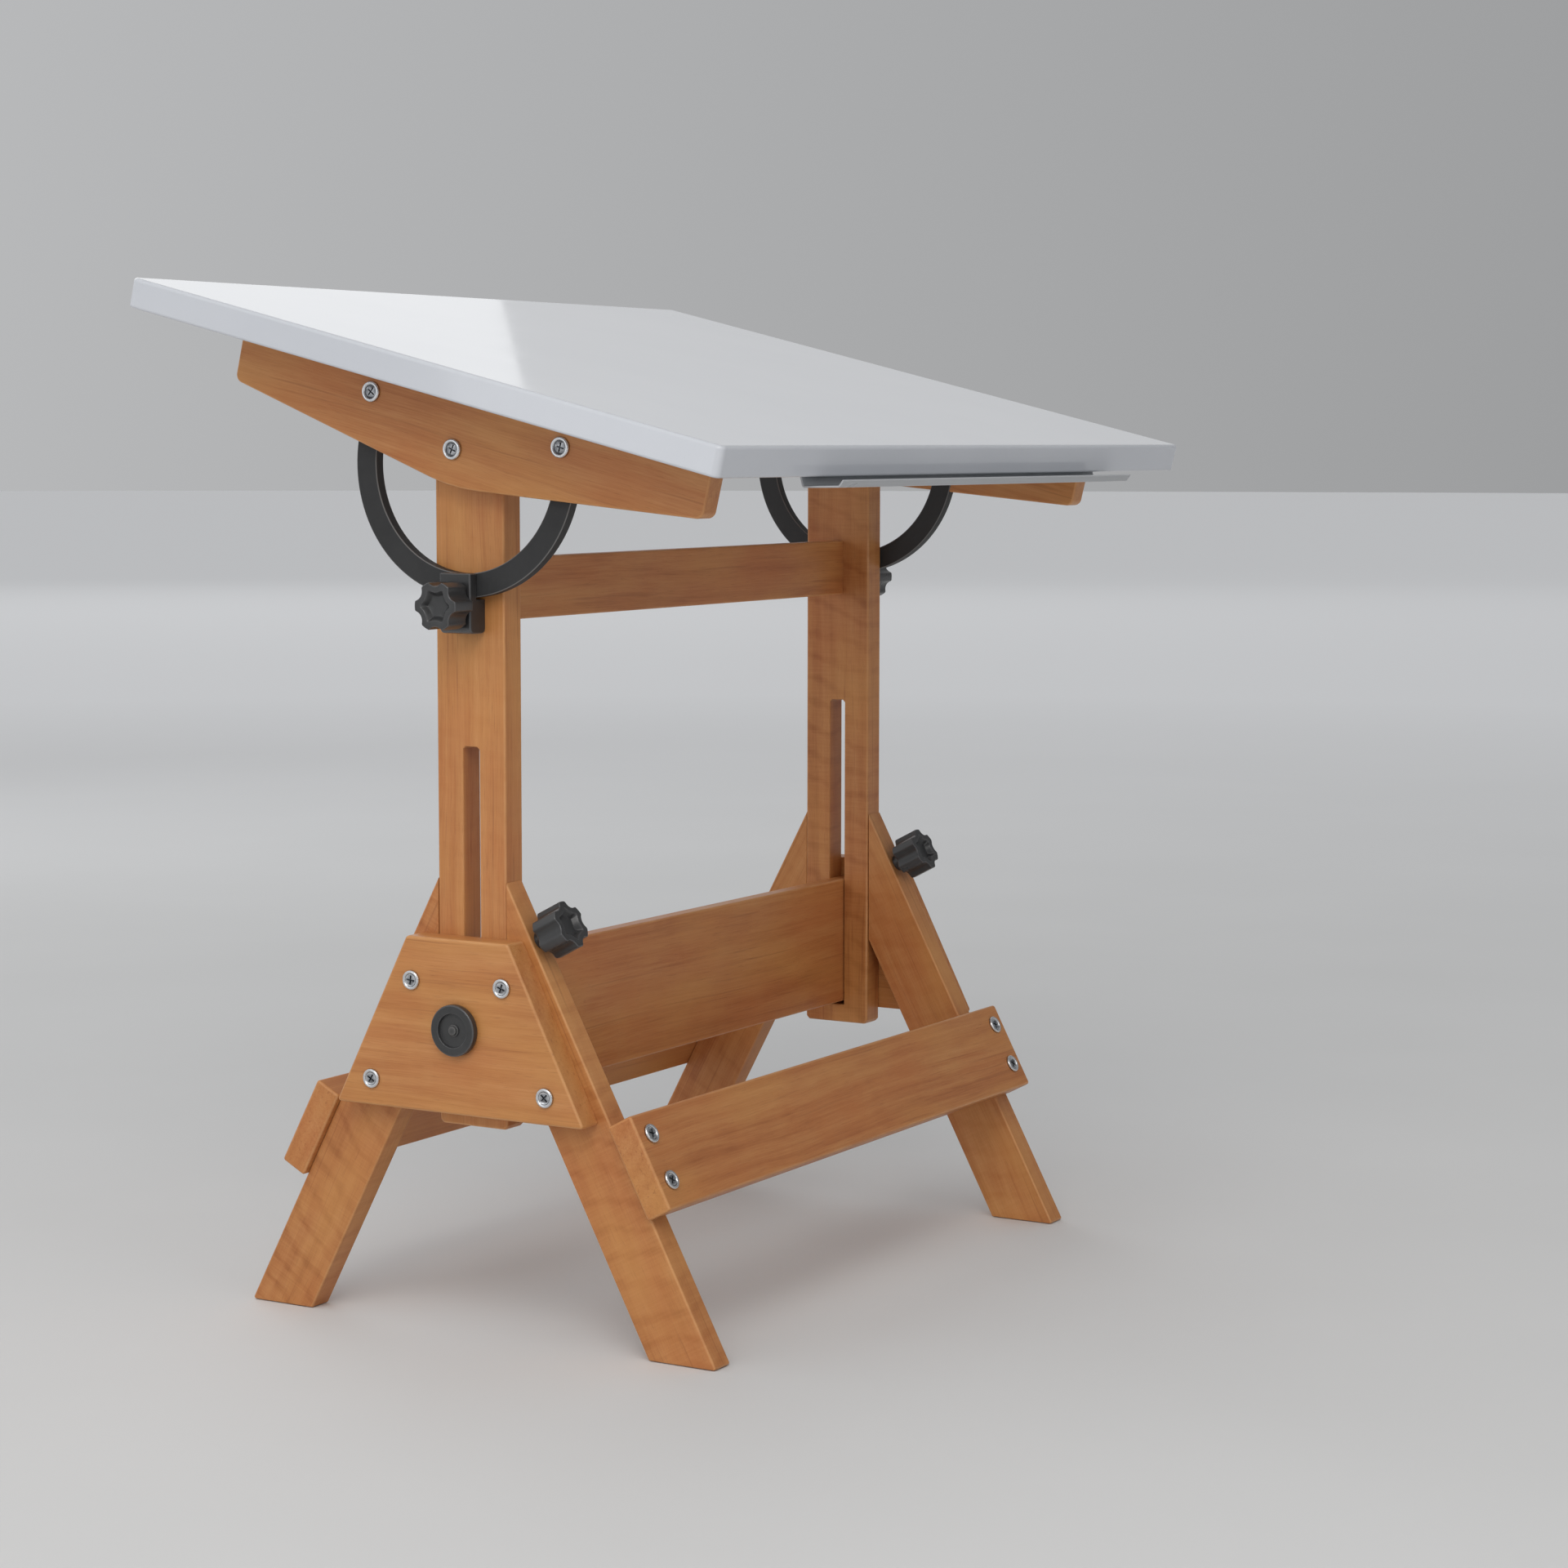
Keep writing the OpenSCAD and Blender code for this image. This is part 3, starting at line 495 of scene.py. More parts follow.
def moulded(name, base_lo, base_hi, rough_lo, rough_hi, grain, strength, edge_highlight, shine=0.28):
    """Dark moulded plastic or powder-coated steel, by how coarse and how strong its grain is."""
    t = Tree(name)
    p = t.coord.outputs["Object"]
    cloud = t.noise(t.mapping(p, scale=(24.0, 24.0, 24.0)), detail=4.0, rough=0.6)
    dust = t.noise(t.mapping(p, scale=(110.0, 110.0, 110.0), location=(5.0, 5.0, 5.0)), detail=4.0, rough=0.7)
    base = t.ramp(cloud, [(0.30, base_lo), (0.70, base_hi)])
    base = t.mix(t.ranged(dust, 0.56, 0.76, 0.0, 0.14), base, tuple(min(1.0, c * 1.8 + 0.008) for c in base_hi))
    # painted highlight: rounded edges and rims take the lighter colour passed in
    base = t.mix(t.math("MULTIPLY", t.edge_light(), 0.75), base, edge_highlight)
    skin = t.noise(t.mapping(p, scale=(grain, grain, grain)), detail=2.0, rough=0.6)
    fine = t.noise(t.mapping(p, scale=(grain * 2.7, grain * 2.7, grain * 2.7), location=(2.0, 0.0, 1.0)), detail=2.0, rough=0.6)
    rough = t.math("ADD", t.ranged(cloud, 0.3, 0.7, rough_lo, rough_hi), t.math("MULTIPLY", t.edge_light(), -0.08))
    n = t.bump(t.math("ADD", t.math("MULTIPLY", skin, 0.7), t.math("MULTIPLY", fine, 0.3)), strength, 0.0003)
    t.set(Base_Color=base, Roughness=rough, Normal=n, IOR=1.50)
    t.bsdf.inputs["Specular IOR Level"].default_value = shine
    return t.mat


def zinc(name="zinc", dark=False):
    t = Tree(name)
    p = t.coord.outputs["Object"]
    cloud = t.noise(t.mapping(p, scale=(190.0, 190.0, 190.0)), detail=4.0, rough=0.6)
    stops = [(0.30, (0.620, 0.635, 0.655)), (0.70, (0.740, 0.750, 0.765))]
    base = t.ramp(cloud, stops)
    # painted shade: the metal is darkened nearly to black wherever the edge highlight mask is low (flats, shanks, the
    # cross recess, parts without the mask), leaving the rims bright; the noise varies its strength
    shade_noise = t.noise(t.mapping(p, scale=(330.0, 330.0, 330.0), location=(2.0, 4.0, 8.0)), detail=3.0)
    recess_shade = t.math("SUBTRACT", 1.0, t.edge_light(), clamp=True)
    base = t.mix(t.math("MULTIPLY", recess_shade, t.ranged(shade_noise, 0.30, 0.70, 0.86, 0.97)), base, (0.045, 0.048, 0.058))
    rough = t.math("ADD", t.ranged(cloud, 0.30, 0.70, 0.16, 0.30), t.math("MULTIPLY", recess_shade, 0.16))
    turned = t.noise(t.mapping(p, scale=(900.0, 900.0, 900.0)), detail=2.0)
    n = t.bump(turned, 0.04, 0.00006)
    t.set(Base_Color=base, Roughness=rough, Normal=n, Metallic=1.0)
    return t.mat


def plain_wood():
    """Beech dowels, unvarnished."""
    t = Tree("dowel_wood")
    p = t.coord.outputs["Object"]
    q = t.mapping(p, scale=(14.0, 600.0, 600.0))
    streak = t.noise(q, detail=4.0, rough=0.6)
    base = t.ramp(streak, [(0.30, (0.500, 0.330, 0.180)), (0.70, (0.700, 0.510, 0.310))])
    t.set(Base_Color=base, Roughness=t.ranged(streak, 0.3, 0.7, 0.55, 0.75), Normal=t.bump(streak, 0.25, 0.0002))
    return t.mat


ALONG_X = (0.0, 0.0, 0.0)
ALONG_Z = (0.0, math.radians(90), 0.0)
ALONG_Y = (0.0, 0.0, math.radians(-90))
LEG_FRONT = (LEG_A, math.radians(90), 0.0)
LEG_REAR = (-LEG_A, math.radians(90), 0.0)
SLOPE = (-TILT, 0.0, math.radians(-90))

lacquer_m = lacquer()
tray_m = tray_plastic()
# the last colour of each is the painted edge highlight, for the knobs and for the steel
knob_m = moulded("dark_plastic", (0.026, 0.0262, 0.027), (0.037, 0.0372, 0.038), 0.26, 0.38, 1500.0, 0.18, (0.105, 0.105, 0.108), 0.5)
steel_m = moulded("dark_metal", (0.026, 0.0261, 0.0268), (0.036, 0.0362, 0.037), 0.42, 0.58, 1100.0, 0.30, (0.230, 0.224, 0.218))
zinc_m = zinc()
dowel_m = plain_wood()

# ---------------------------------------------------------------- base
POST_X, POST_T, POST_D = 406.5, 31.5, 87.0
LEG_X, LEG_T = 407.0, 30.0


def yz(x, side):
    """Sections in (y, z), drawn along X on the chosen side."""
    return lambda a, b, h: (side * h, a, b)


def placed(m, f):
    return lambda a, b, h: m @ Vector(f(a, b, h))


def side_name(base, side):
    return f"{base}_{'left' if side < 0 else 'right'}"


def make_leg(front, side, mat):
    s = -1 if front else 1
    outline = [(s * LEG_Y, LEG_TOP), (s * FOOT_Y, 0.0), (s * (FOOT_Y - LEG_W / math.cos(LEG_A)), 0.0),
               (s * LEG_Y, LEG_TOP - LEG_W / math.sin(LEG_A))]
    c = fillet(outline, [0, 2.6, 2.6, 0], [1.0, 0.5, 1.0, 0.22])
    bm = new_bm()
    prism(bm, c, [], LEG_X - LEG_T, LEG_X, 2.4, placed(STAND, yz(0, side)))
    name = side_name("leg_front" if front else "leg_rear", side)
    return finish_piece(bm, "look_" + name, "base", name, mat)


# tone and red arguments are partly painted shade: lower and redder for pieces that stand in shade
make_leg(True, -1, wood("wood_leg_front_left", LEG_FRONT, 1.0, 0.04, 0.0, 1.0, 1.0, 1.0))
make_leg(False, -1, wood("wood_leg_rear_left", LEG_REAR, 2.3, 0.06, 0.0, 1.0, 1.0, 1.0))
make_leg(True, 1, wood("wood_leg_front_right", LEG_FRONT, 3.1, 0.02, 0.4, 0.8, 1.0, 0.5))
make_leg(False, 1, wood("wood_leg_rear_right", LEG_REAR, 4.7, 0.02, 0.4, 0.8, 1.0, 0.5))

GUSSET_X1 = LEG_X + 29.0


def make_gusset(side, mat):
    outline = [(-65, 427.5), (-159.3, 241), (159.3, 241), (65, 427.5)]
    c = fillet(outline, [5.0, 3.2, 3.2, 5.0])
    bm = new_bm()
    prism(bm, c, [], LEG_X, GUSSET_X1, 2.8, placed(STAND, yz(0, side)), r0=0.8)
    name = side_name("gusset", side)
    return finish_piece(bm, "look_" + name, "base", name, mat)


make_gusset(-1, wood("wood_gusset_left", ALONG_Y, 5.9, 0.03, 0.1))
make_gusset(1, wood("wood_gusset_right", ALONG_Y, 6.4, 0.03, 0.1))


def xbox(y0, y1, z0, z1, x0, x1, m, r, corner):
    """A board along X with every edge eased."""
    c = fillet([(y0, z0), (y1, z0), (y1, z1), (y0, z1)], corner, step=30)
    bm = new_bm()
    prism(bm, c, [], x0, x1, r, placed(m, lambda a, b, h: (h, a, b)))
    return bm


# tone and red arguments are partly painted shade: lower and redder for pieces that stand in shade
bm = xbox(-9.5, 9.5, 250.5, 404.5, -LEG_X, LEG_X, STAND, 0.4, 2.4)
finish_piece(bm, "look_lower_stretcher", "base", "lower_stretcher", wood("wood_stretcher", ALONG_X, 7.7, -0.06, 0.8))
RAIL_X = LEG_X + 7.3
# tone and red arguments are partly painted shade: lower and redder for pieces that stand in shade
for front, name, seed in ((True, "front_rail", 8.2), (False, "rear_rail", 9.6)):
    bm = xbox(277.4, 383.0, 0.0, 32.0, -RAIL_X, RAIL_X, leg_frame(front), 3.0, 3.0)
    finish_piece(bm, "look_" + name, "base", name, wood("wood_" + name, ALONG_X, seed, -0.03, 0.5))

# ---------------------------------------------------------------- posts and crossbar
POST_TOP = 977.0


def make_post(side, mat):
    y, z0, c = POST_D / 2, 224.0, 16.0
    outline = [(-y, z0 + 4), (-y + 4, z0), (y - 4, z0), (y, z0 + 4), (y, POST_TOP - c), (y - c, POST_TOP),
               (-y + c, POST_TOP), (-y, POST_TOP - c)]
    outer = fillet(outline, 2.5, step=20)
    slot = [(-10.5, 246), (10.5, 246), (10.5, 625), (7.5, 628), (-7.5, 628), (-10.5, 625)]
    hole = fillet(slot, [0.8] * 6, step=30)
    # the slot's inner edges get less painted highlight
    hole = (hole[0], [w * 0.4 for w in hole[1]], [0.45] * len(hole[2]))
    bm = new_bm()
    prism(bm, outer, [hole], POST_X - POST_T, POST_X, 2.6, placed(STAND, yz(0, side)))
    name = side_name("post", side)
    return finish_piece(bm, "look_" + name, "lift_frame", name, mat)


# tone and red arguments are partly painted shade: lower and redder for pieces that stand in shade
make_post(-1, wood("wood_post_left", ALONG_Z, 10.3, 0.04, 0.1, 0.0, 1.0, 0.2))
make_post(1, wood("wood_post_right", ALONG_Z, 11.9, 0.02, 0.1, 0.0, 1.0, 0.9))
# tone and red arguments are partly painted shade: lower and redder for pieces that stand in shade
bm = xbox(-8.0, 8.0, 759.0, 825.0, -(POST_X - POST_T), POST_X - POST_T, STAND, 0.3, 2.2)
finish_piece(bm, "look_crossbar", "lift_frame", "crossbar", wood("wood_crossbar", ALONG_X, 12.4, -0.08, 0.9))

# ---------------------------------------------------------------- board, cleats and arcs
BN = 62.8
CLEAT_X0, CLEAT_X1 = POST_X + 2.5, POST_X + 28.5
CLEAT_HALF, CLEAT_SHIFT = 302.4, 7.6


def board_xy(a, b, h):
    return (a, b, h)


bm = new_bm()
w, d = 533.5, 375.0
outer = fillet([(-w, -d), (w, -d), (w, d), (-w, d)], 8.0, step=11)
prism(bm, outer, [], BN, BN + 32.0, 4.0, placed(BOARD, board_xy), r0=3.0, segs=5)
finish_piece(bm, "look_drawing_board", "board", "drawing_board", lacquer_m)


def make_cleat(side, mat):
    low = BN - 102.3
    end = BN - 58.5
    outline = [(-CLEAT_HALF, BN), (-CLEAT_HALF, end), (0, low), (CLEAT_HALF, end), (CLEAT_HALF, BN)]
    pts, edge_light, ew = fillet(outline, [0, 9.0, 210.0, 9.0, 0], [1.0, 1.0, 1.0, 1.0, 0.12], step=5)
    pts = [(a - CLEAT_SHIFT, b) for a, b in pts]
    bm = new_bm()
    prism(bm, (pts, edge_light, ew), [], CLEAT_X0, CLEAT_X1, 2.4, placed(BOARD, yz(0, side)))
    name = side_name("cleat", side)
    return finish_piece(bm, "look_" + name, "board", name, mat)


# tone and red arguments are partly painted shade: lower and redder for pieces that stand in shade
make_cleat(-1, wood("wood_cleat_left", SLOPE, 13.6, -0.05, 0.6))
make_cleat(1, wood("wood_cleat_right", SLOPE, 14.8, -0.05, 0.6))

ARC_RO, ARC_BAND, ARC_DROP, ARC_N = 138.5, 25.5, 14.0, 33.9
ARC_X0, ARC_X1 = POST_X + 1.5, POST_X + 14.5


def make_arc(side, mat):
    ri, mid, top = ARC_RO - ARC_BAND, ARC_RO - ARC_BAND / 2, ARC_N + ARC_DROP
    pts = [(ARC_RO * math.cos(math.radians(q)), ARC_RO * math.sin(math.radians(q))) for q in range(180, 361, 3)]
    pts += [(mid + ARC_BAND / 2 * math.cos(math.radians(q)), top + ARC_BAND / 2 * math.sin(math.radians(q))) for q in range(0, 181, 12)]
    pts += [(ri * math.cos(math.radians(q)), ri * math.sin(math.radians(q))) for q in range(360, 179, -3)]
    pts += [(-mid + ARC_BAND / 2 * math.cos(math.radians(q)), top + ARC_BAND / 2 * math.sin(math.radians(q))) for q in range(0, 181, 12)]
    pts = [(a - CLEAT_SHIFT, b - ARC_DROP) for a, b in pts]
    bm = new_bm()
    prism(bm, (pts, [0.0] * len(pts), [1.0] * len(pts)), [], ARC_X0, ARC_X1, 1.3, placed(BOARD, yz(0, side)), segs=3)
    name = side_name("arc", side)
    return finish_piece(bm, "look_" + name, "board", name, mat)


make_arc(-1, steel_m)
make_arc(1, steel_m)

CLAMP_X1 = ARC_X1 + 12.5
ARC_LOW = math.hypot(CLEAT_SHIFT, ARC_DROP) + ARC_RO
NOTCH_Z = 939.0 - ARC_LOW - 1.1
CLAMP_KNOB_Z = NOTCH_Z - 5.5
CLAMP_Z0, CLAMP_Z1 = 748.0, 939.0 - ARC_LOW + ARC_BAND + 1


def make_clamp(side, mat):
    nx = ARC_X1 + 0.5
    outline = [(POST_X, CLAMP_Z0), (CLAMP_X1, CLAMP_Z0), (CLAMP_X1, CLAMP_Z1), (nx, CLAMP_Z1), (nx, NOTCH_Z), (POST_X, NOTCH_Z)]
    c = fillet(outline, [5.0, 7.0, 1.6, 1.2, 0.8, 0.8], [1, 1, 1, 0.6, 0.6, 0.3], step=15)
    bm = new_bm()
    prism(bm, c, [], -19.5, 19.5, 1.8, placed(STAND, lambda a, b, h: (side * a, h, b)))
    name = side_name("clamp", side)
    return finish_piece(bm, "look_" + name, "lift_frame", name, mat)


make_clamp(-1, knob_m)
make_clamp(1, knob_m)

# ---------------------------------------------------------------- pencil tray
path = [(-331, BN - 1), (-356, BN - 1), (-362.5, BN - 13), (-402.5, BN - 2.8), (-406.2, BN + 5)]


def normals(p):
    out = []
    seg = [(-(unit(b[0] - a[0], b[1] - a[1])[1]), unit(b[0] - a[0], b[1] - a[1])[0]) for a, b in zip(p, p[1:])]
    for i in range(len(p)):
        if i == 0 or i == len(p) - 1:
            out.append(seg[0] if i == 0 else seg[-1])
        else:
            a, b = seg[i - 1], seg[i]
            k = 1 + a[0] * b[0] + a[1] * b[1]
            out.append(((a[0] + b[0]) / k, (a[1] + b[1]) / k))
    return out


nn = normals(path)
ring = [(p[0] + n[0], p[1] + n[1]) for p, n in zip(path, nn)] + [(p[0] - n[0], p[1] - n[1]) for p, n in list(zip(path, nn))[::-1]]
bends = [0.5, 2.4, 3.4, 3.0, 0.9, 0.9, 1.4, 1.6, 0.9, 0.5]
if area2(ring) < 0:
    ring, bends = ring[::-1], bends[::-1]
tray_c = fillet(ring, bends, step=15)
bm = new_bm()
prism(bm, tray_c, [], -341.5, 341.5, 0.7, placed(BOARD, lambda a, b, h: (h, a, b)), segs=2)
finish_piece(bm, "look_pencil_tray", "board", "pencil_tray", tray_m)


# ---------------------------------------------------------------- screws, bolts and caps
def cross_outline(arm, half):
    return [(half, -half), (arm, -half), (arm, half), (half, half), (half, arm), (-half, arm), (-half, half),
            (-arm, half), (-arm, -half), (-half, -half), (-half, -arm), (half, -arm)]


def screw(bm, place, r, h, sink, shank_r, shank_l, turn, face=0.86, cross=0.25):
    """A pan head with a rolled rim, a sunk face and a cross recess, on its shank. Height runs out of the wood."""
    fr = r * 0.64
    fh = h - sink
    prof = [(0.0, -shank_l, 0.3), (shank_r * 0.45, -shank_l, 0.3), (shank_r, -shank_l + shank_r, 0.3), (shank_r, 0.0, 0.3), (r - 0.5, 0.0, 0.5)]
    prof += round_corner(r - 1.5, 0.0, r, 0.0, r, h * 0.6, 0.35, 2)
    prof += [(r, h * 0.42, 1.0)]
    for q in range(0, 181, 18):
        a = math.radians(q)
        wide = (r - fr) / 2
        prof.append((r - wide + wide * math.cos(a), h * 0.42 + (h * 0.58) * math.sin(a), 1.0))
    prof += [(fr - 0.05, fh + 0.35, 0.30), (fr - 0.35, fh, face)]
    # third values: painted highlight, strongest on the rolled rim
    lathe(bm, [(a, b, 0.9 if 0.4 < c < 0.95 and a > shank_r else c) for a, b, c in prof], place, n=40)
    layer = bm.verts.layers.float["edge_light"]
    # the sunk face, with the cross cut into it
    rim = [((fr - 0.35) * math.cos(2 * math.pi * i / 40), (fr - 0.35) * math.sin(2 * math.pi * i / 40)) for i in range(40)]
    c, s = math.cos(turn), math.sin(turn)
    spin = lambda pts: [(x * c - y * s, x * s + y * c) for x, y in pts]
    top, low = spin(cross_outline(r * 0.48, 0.85)), spin(cross_outline(r * 0.36, 0.55))
    rim_v = [bm.verts.new(place(x, y, fh)) for x, y in rim]
    top_v = [bm.verts.new(place(x, y, fh + 0.12)) for x, y in top]
    low_v = [bm.verts.new(place(x, y, max(0.2, fh - 1.5))) for x, y in low]
    # painted highlight: face on the sunk face's rim, cross at the top of the cross, none at its floor
    for v in rim_v:
        v[layer] = face
    for v in top_v:
        v[layer] = cross
    for v in low_v:
        v[layer] = 0.0
    flat = rim_v + top_v
    for tri in tessellate_polygon([[Vector((x, y, 0)) for x, y in rim], [Vector((x, y, 0)) for x, y in top[::-1]]]):
        idx = [i if i < 40 else 40 + (11 - (i - 40)) for i in tri]
        if len(set(idx)) == 3:
            bm.faces.new([flat[i] for i in idx])
    for i in range(12):
        j = (i + 1) % 12
        bm.faces.new((top_v[i], top_v[j], low_v[j], low_v[i]))
    for tri in tessellate_polygon([[Vector((x, y, 0)) for x, y in low]]):
        bm.faces.new([low_v[i] for i in tri])


def x_out(side, x, y, z):
    """Frame of a fastener whose head faces outwards along X."""
    return lambda a, b, h: (side * (x + h), y + a, z + b)


GUSSET_HOLES = [(58, 380.5), (-58, 380.5), (111.5, 270.2), (-111.5, 270.2)]
bm = new_bm()
for side in (-1, 1):
    for k, (y, z) in enumerate(GUSSET_HOLES):
        screw(bm, placed(STAND, x_out(side, GUSSET_X1, y, z)), 10.5, 3.2, 1.2, 3.0, 51.9, 0.12 + 0.21 * k)
finish_piece(bm, "look_gusset_screws", "base", "gusset_screws", zinc_m, smooth=50, weighted=False)
bm = new_bm()
for side in (-1, 1):
    for front in (True, False):
        for k, s in enumerate((24, 76)):
            f = lambda a, b, h, side=side, s=s: (side * (LEG_X - 15.4) + a, 277.4 + s + b, 32.0 + h)
            screw(bm, placed(leg_frame(front), f), 10.5, 3.2, 1.2, 3.0, 60.9, 0.35 + 0.3 * k, 0.62)
finish_piece(bm, "look_rail_screws", "base", "rail_screws", zinc_m, smooth=50, weighted=False)
bm = new_bm()
for side in (-1, 1):
    screw(bm, placed(BOARD, x_out(side, CLEAT_X1, 0, 0)), 11.0, 3.9, 2.4, 5.0, 68.9, 0.2, 0.10, 0.55)
finish_piece(bm, "look_pivot_bolts", "board", "pivot_bolts", zinc_m, smooth=50, weighted=False)
bm = new_bm()
for side in (-1, 1):
    for k in (-1, 1):
        screw(bm, placed(BOARD, x_out(side, CLEAT_X1, -CLEAT_SHIFT + k * 122.3, ARC_N)), 11.0, 3.6, 2.2, 4.0, 24.9, 0.25 + 0.2 * k, 0.10, 0.55)
finish_piece(bm, "look_arc_bolts", "board", "arc_bolts", zinc_m, smooth=50, weighted=False)

for side in (-1, 1):
    bm = new_bm()
    # third values: painted highlight on the cap's rounded rims
    prof = [(0.0, 0.0, 0.0), (25.4, 0.0, 0.1)]
    prof += round_corner(20, 0.0, 26.4, 0.0, 27.5, 1.6, 0.6, 2)
    prof += [(27.5, 2.0, 0.1)]
    prof += round_corner(27.5, 2.0, 27.5, 9.0, 20.0, 9.0, 1.8, 5)
    prof += round_corner(24.0, 9.0, 18.2, 9.0, 17.8, 5.0, 0.7, 4)
    prof += [(17.85, 5.6, 0.1), (17.3, 5.0, 0.1), (15.0, 4.8, 0.05), (8.0, 5.0, 0.0), (0.0, 5.0, 0.0)]
    lathe(bm, prof, placed(STAND, x_out(side, GUSSET_X1, 0, 332)), n=72)
    name = side_name("cap", side)
    finish_piece(bm, "look_" + name, "base", name, knob_m, smooth=42)


bm = new_bm()
for side in (-1, 1):
    # third values: painted highlight, strongest on the dome's edge
    stub = [(0.0, -66.0, 0.1), (4.0, -66.0, 0.1), (4.0, 5.0, 0.1), (6.3, 5.0, 0.1), (6.5, 5.2, 0.1), (6.5, 6.2, 0.2), (6.1, 6.6, 0.4),
            (5.2, 6.8, 0.2), (4.8, 7.0, 0.1), (4.7, 8.2, 0.3), (4.2, 8.8, 0.6), (3.0, 9.0, 0.3), (0.0, 9.05, 0.1)]
    lathe(bm, stub, placed(STAND, x_out(side, GUSSET_X1, 0, 332)), n=48)
finish_piece(bm, "look_stretcher_bolts", "base", "stretcher_bolts", steel_m, smooth=42)


# ---------------------------------------------------------------- knobs
def star_radius(q, tip, far, cut, soft):
    """Radius at angle q of a disc of radius tip with six scallops of radius cut at distance far; soft rounds the corners."""
    d = abs((q - math.pi / 6 + math.pi / 6) % (math.pi / 3) - math.pi / 6)
    inside = cut * cut - (far * math.sin(d)) ** 2
    s = far * math.cos(d) - (math.sqrt(inside) if inside > 0 else -6.0 * math.sqrt(-inside) / cut)
    h = max(0.0, min(1.0, 0.5 + 0.5 * (s - tip) / soft))
    return s + (tip - s) * h - soft * h * (1 - h)


def knob(bm, place, turn, collar_r, z0, top, tip=26.0):
    """A star knob: collar, scalloped body with eased edges, and a dished recess that follows the star."""
    n = 144
    angles = [2 * math.pi * i / n for i in range(n)]
    outer = [star_radius(q, tip, 31.5, 10.5, 2.0) for q in angles]
    lip = [star_radius(q, 18.2, 31.5, 17.0, 0.9) for q in angles]
    dish = [star_radius(q, 14.4, 31.5, 21.2, 1.4) for q in angles]
    # painted highlight on the lobe tips
    crest_highlight = [0.5 * max(0.0, (r - 25.0) / (tip - 25.0)) for r in outer]

    def ring(radii, edge_light):
        return ([(r * math.cos(q + turn), r * math.sin(q + turn)) for r, q in zip(radii, angles)], edge_light)

    made = [(z0, [ring([r - 2.2 for r in outer], [0.0] * n)])]
    for i in range(1, 4):
        t = math.pi / 2 * i / 3
        made.append((z0 + 2.2 * (1 - math.cos(t)), [ring([r - 2.2 * (1 - math.sin(t)) for r in outer], [max(0.5 * math.sin(2 * t), c * 0.4) for c in crest_highlight])]))
    made.append((top - 1.3, [ring(outer, [c * 0.6 for c in crest_highlight])]))
    for i in range(1, 5):
        t = math.pi / 2 * i / 4
        made.append((top - 1.3 + 1.3 * math.sin(t), [ring([r - 1.3 * (1 - math.cos(t)) for r in outer], [math.sin(2 * t)] * n)]))
    # painted highlight along the lip of the recess; none inside the dish
    made.append((top, [ring([r + 0.5 for r in lip], [0.1] * n)]))
    made.append((top - 0.12, [ring([r + 0.1 for r in lip], [0.7] * n)]))
    made.append((top - 0.5, [ring([r - 0.25 for r in lip], [0.5] * n)]))
    for k, depth in ((0.35, 2.4), (0.7, 4.5), (0.92, 5.7), (1.0, 6.05)):
        made.append((top - depth, [ring([a - 0.25 + (b - a + 0.25) * k for a, b in zip(lip, dish)], [0.0] * n)]))
    for k, depth in ((0.88, 6.3), (0.5, 6.4), (0.15, 6.4)):
        made.append((top - depth, [ring([r * k for r in dish], [0.0] * n)]))
    loft(bm, made, place)
    prof = [(0.0, 0.0, 0.0), (collar_r - 1.4, 0.0, 0.1)]
    prof += round_corner(collar_r - 3, 0.0, collar_r, 0.0, collar_r, 3.0, 1.0, 3)
    prof += [(collar_r, z0 + 0.6, 0.0), (0.0, z0 + 0.6, 0.0)]
    lathe(bm, prof, place, n=48)


KNOB_X = CLAMP_X1 + 0.3
for side in (-1, 1):
    bm = new_bm()
    knob(bm, placed(STAND, x_out(side, KNOB_X, 0, CLAMP_KNOB_Z)), 0.0, 11.0, 2.5, 35.0)
    name = side_name("arc_knob", side)
    finish_piece(bm, "look_" + name, name, name, knob_m, smooth=40)
    bm = new_bm()
    f = lambda a, b, h, side=side: (side * (LEG_X - LEG_T / 2) + a, 68.5 + b, 0.3 + h)
    knob(bm, placed(leg_frame(True), f), math.radians(30), 10.0, 12.5, 45.0)
    name = side_name("leg_knob", side)
    finish_piece(bm, "look_" + name, name, name, knob_m, smooth=40)

# ---------------------------------------------------------------- CAD nodes that stay
STAYS = {
    "stretcher_inserts": zinc_m, "leg_inserts": zinc_m, "post_inserts": zinc_m,
    "stretcher_dowels": dowel_m, "crossbar_dowels": dowel_m, "pivot_nuts": zinc_m, "pivot_washers": steel_m,
    "arc_nuts": zinc_m, "cleat_screws": zinc_m, "tray_screws": zinc_m,
    "arc_stud_left": zinc_m, "arc_stud_right": zinc_m, "leg_stud_left": zinc_m, "leg_stud_right": zinc_m,
}
for n, mat in STAYS.items():
    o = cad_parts[n]
    o.data.materials.clear()
    o.data.materials.append(mat)
    m = o.modifiers.new("weld", "WELD")
    m.merge_threshold = 2e-6
    m = o.modifiers.new("eased", "BEVEL")
    m.width = 0.00035
    m.segments = 2
    m.limit_method = "ANGLE"
    m.angle_limit = math.radians(35)
    m.harden_normals = False
    m = o.modifiers.new("flat_faces", "WEIGHTED_NORMAL")
    m.keep_sharp = True

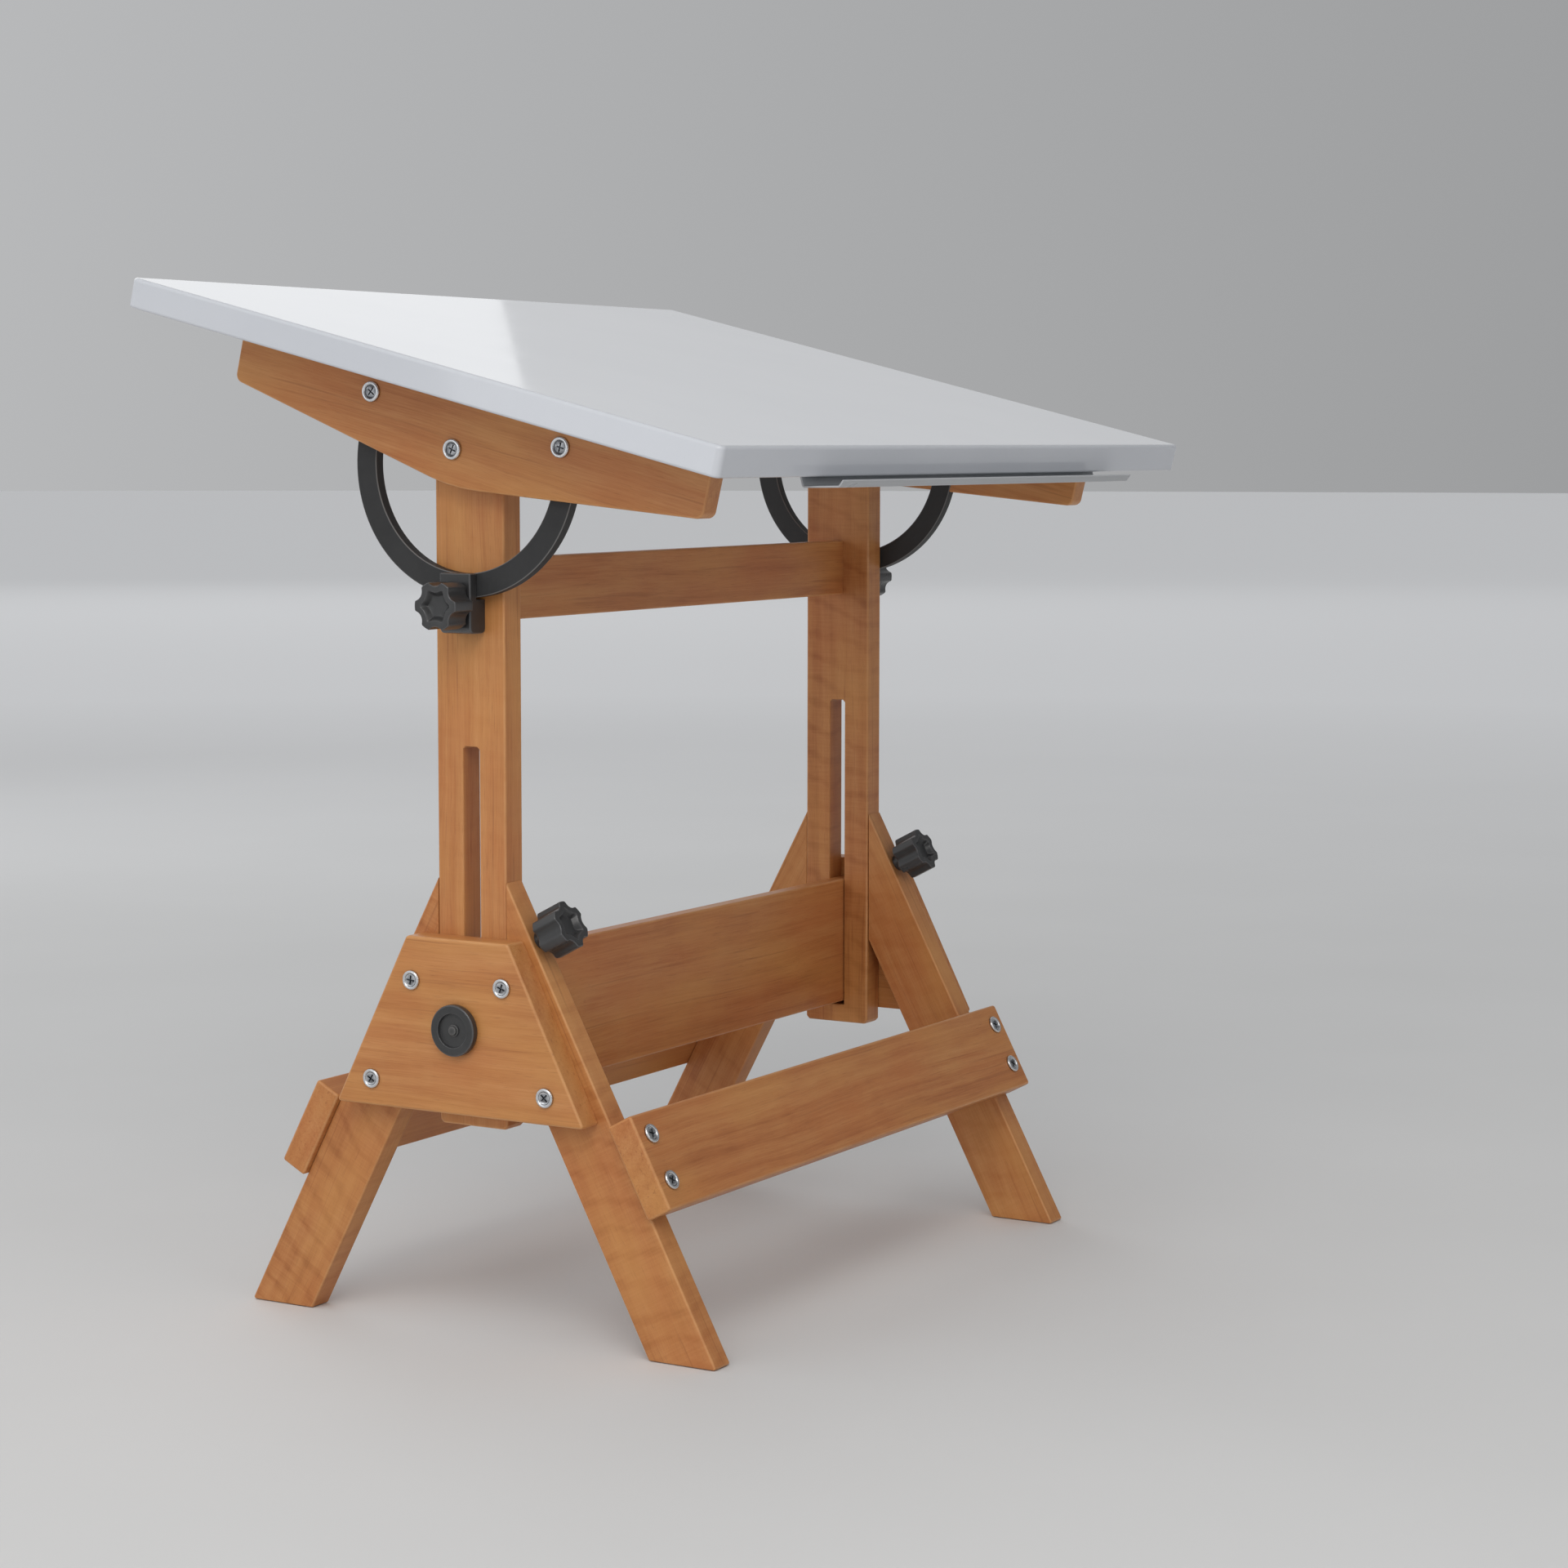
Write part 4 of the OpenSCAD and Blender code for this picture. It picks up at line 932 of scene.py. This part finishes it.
# ---------------------------------------------------------------- floor, light and camera
bm = bmesh.new()
bmesh.ops.create_circle(bm, cap_ends=True, radius=60.0, segments=96)
mesh = bpy.data.meshes.new("floor")
bm.to_mesh(mesh)
bm.free()
floor = bpy.data.objects.new("floor", mesh)
bpy.context.scene.collection.objects.link(floor)
t = Tree("floor_paint")
fog = t.noise(t.mapping(t.coord.outputs["Object"], scale=(1.3, 1.3, 1.3)), detail=4.0)
far = t.node("ShaderNodeVectorMath", operation="LENGTH")
t.link(t.coord.outputs["Object"], far.inputs[0])
paint = t.ramp(fog, [(0.3, (0.700, 0.700, 0.696)), (0.7, (0.725, 0.725, 0.722))])
paint = t.mix(t.ranged(far.outputs["Value"], 2.5, 9.0, 0.0, 1.0), paint, (0.97, 0.975, 0.985))
t.set(Base_Color=paint, Roughness=0.75)
t.bsdf.inputs["Specular IOR Level"].default_value = 0.15
mesh.materials.append(t.mat)
floor.location = (0, 0, -0.0006)

world = bpy.data.worlds.new("studio")
world.use_nodes = True
nt = world.node_tree
bg = nt.nodes["Background"]
bg.inputs["Color"].default_value = (0.94, 0.95, 0.965, 1)
# brighter over the left rear, darker over the right front, as in a room with one light side
aim = nt.nodes.new("ShaderNodeVectorMath")
aim.operation = "DOT_PRODUCT"
nt.links.new(nt.nodes.new("ShaderNodeTexCoord").outputs["Generated"], aim.inputs[0])
aim.inputs[1].default_value = (-0.70, 0.70, 0.14)
sky = nt.nodes.new("ShaderNodeMapRange")
sky.interpolation_type = "SMOOTHSTEP"
for key, v in (("From Min", -1.0), ("From Max", 1.0), ("To Min", 0.27), ("To Max", 0.76)):
    sky.inputs[key].default_value = v
nt.links.new(aim.outputs["Value"], sky.inputs["Value"])
nt.links.new(sky.outputs["Result"], bg.inputs["Strength"])
bpy.context.scene.world = world


def area(name, at, look, size, power, colour=(1, 1, 1), size_y=None):
    d = bpy.data.lights.new(name, "AREA")
    d.shape = "RECTANGLE"
    d.size = size
    d.size_y = size_y or size
    d.energy = power
    d.color = colour
    o = bpy.data.objects.new(name, d)
    bpy.context.scene.collection.objects.link(o)
    o.location = at
    o.rotation_euler = (Vector(look) - Vector(at)).to_track_quat("-Z", "Y").to_euler()
    o.visible_camera = False
    return o


area("key", (-3.4, -1.5, 3.7), (0, 0, 0.6), 2.8, 75, (1.0, 0.98, 0.95))
area("fill", (-4.4, 1.4, 1.7), (0, 0, 0.6), 2.4, 14, (0.96, 0.98, 1.0))
area("front", (-1.4, -4.6, 2.3), (0, 0, 0.6), 2.4, 19, (1.0, 0.98, 0.96))
area("rear", (2.6, 4.4, 3.0), (0, 0, 0.6), 2.4, 22, (0.97, 0.985, 1.0))
area("backdrop", (15.1, 9.8, 5.2), (0, 0, 1.0), 16.8, 46, (0.98, 0.99, 1.0), 3.2)
window = area("window", (12.43, 12.40, 7.5), (0, 0, 1.0), 8.7, 64, (0.98, 0.99, 1.0), 6.0)
window.rotation_euler.rotate_axis("Z", math.radians(33))

yaw, pitch, roll = math.radians(-59.69875), math.radians(-5.64957), math.radians(0.07898)
fwd = Vector((-math.sin(yaw) * math.cos(pitch), math.cos(yaw) * math.cos(pitch), math.sin(pitch)))
right = Vector((math.cos(yaw), math.sin(yaw), 0))
up = right.cross(fwd)
cx = math.cos(roll) * right + math.sin(roll) * up
cy = -math.sin(roll) * right + math.cos(roll) * up
cam_data = bpy.data.cameras.new("camera")
cam_data.lens = 80.207
cam_data.sensor_width = 36.0
cam_data.sensor_fit = "HORIZONTAL"
cam_data.clip_end = 200.0
cam_data.dof.use_dof = False
cam = bpy.data.objects.new("camera", cam_data)
bpy.context.scene.collection.objects.link(cam)
rot = Matrix((cx, cy, -fwd)).transposed()
cam.matrix_world = Matrix.Translation((-3.393167, -2.094978, 0.950677)) @ rot.to_4x4()
bpy.context.scene.camera = cam
bpy.context.scene.view_settings.view_transform = "Standard"

bpy.context.view_layer.update()
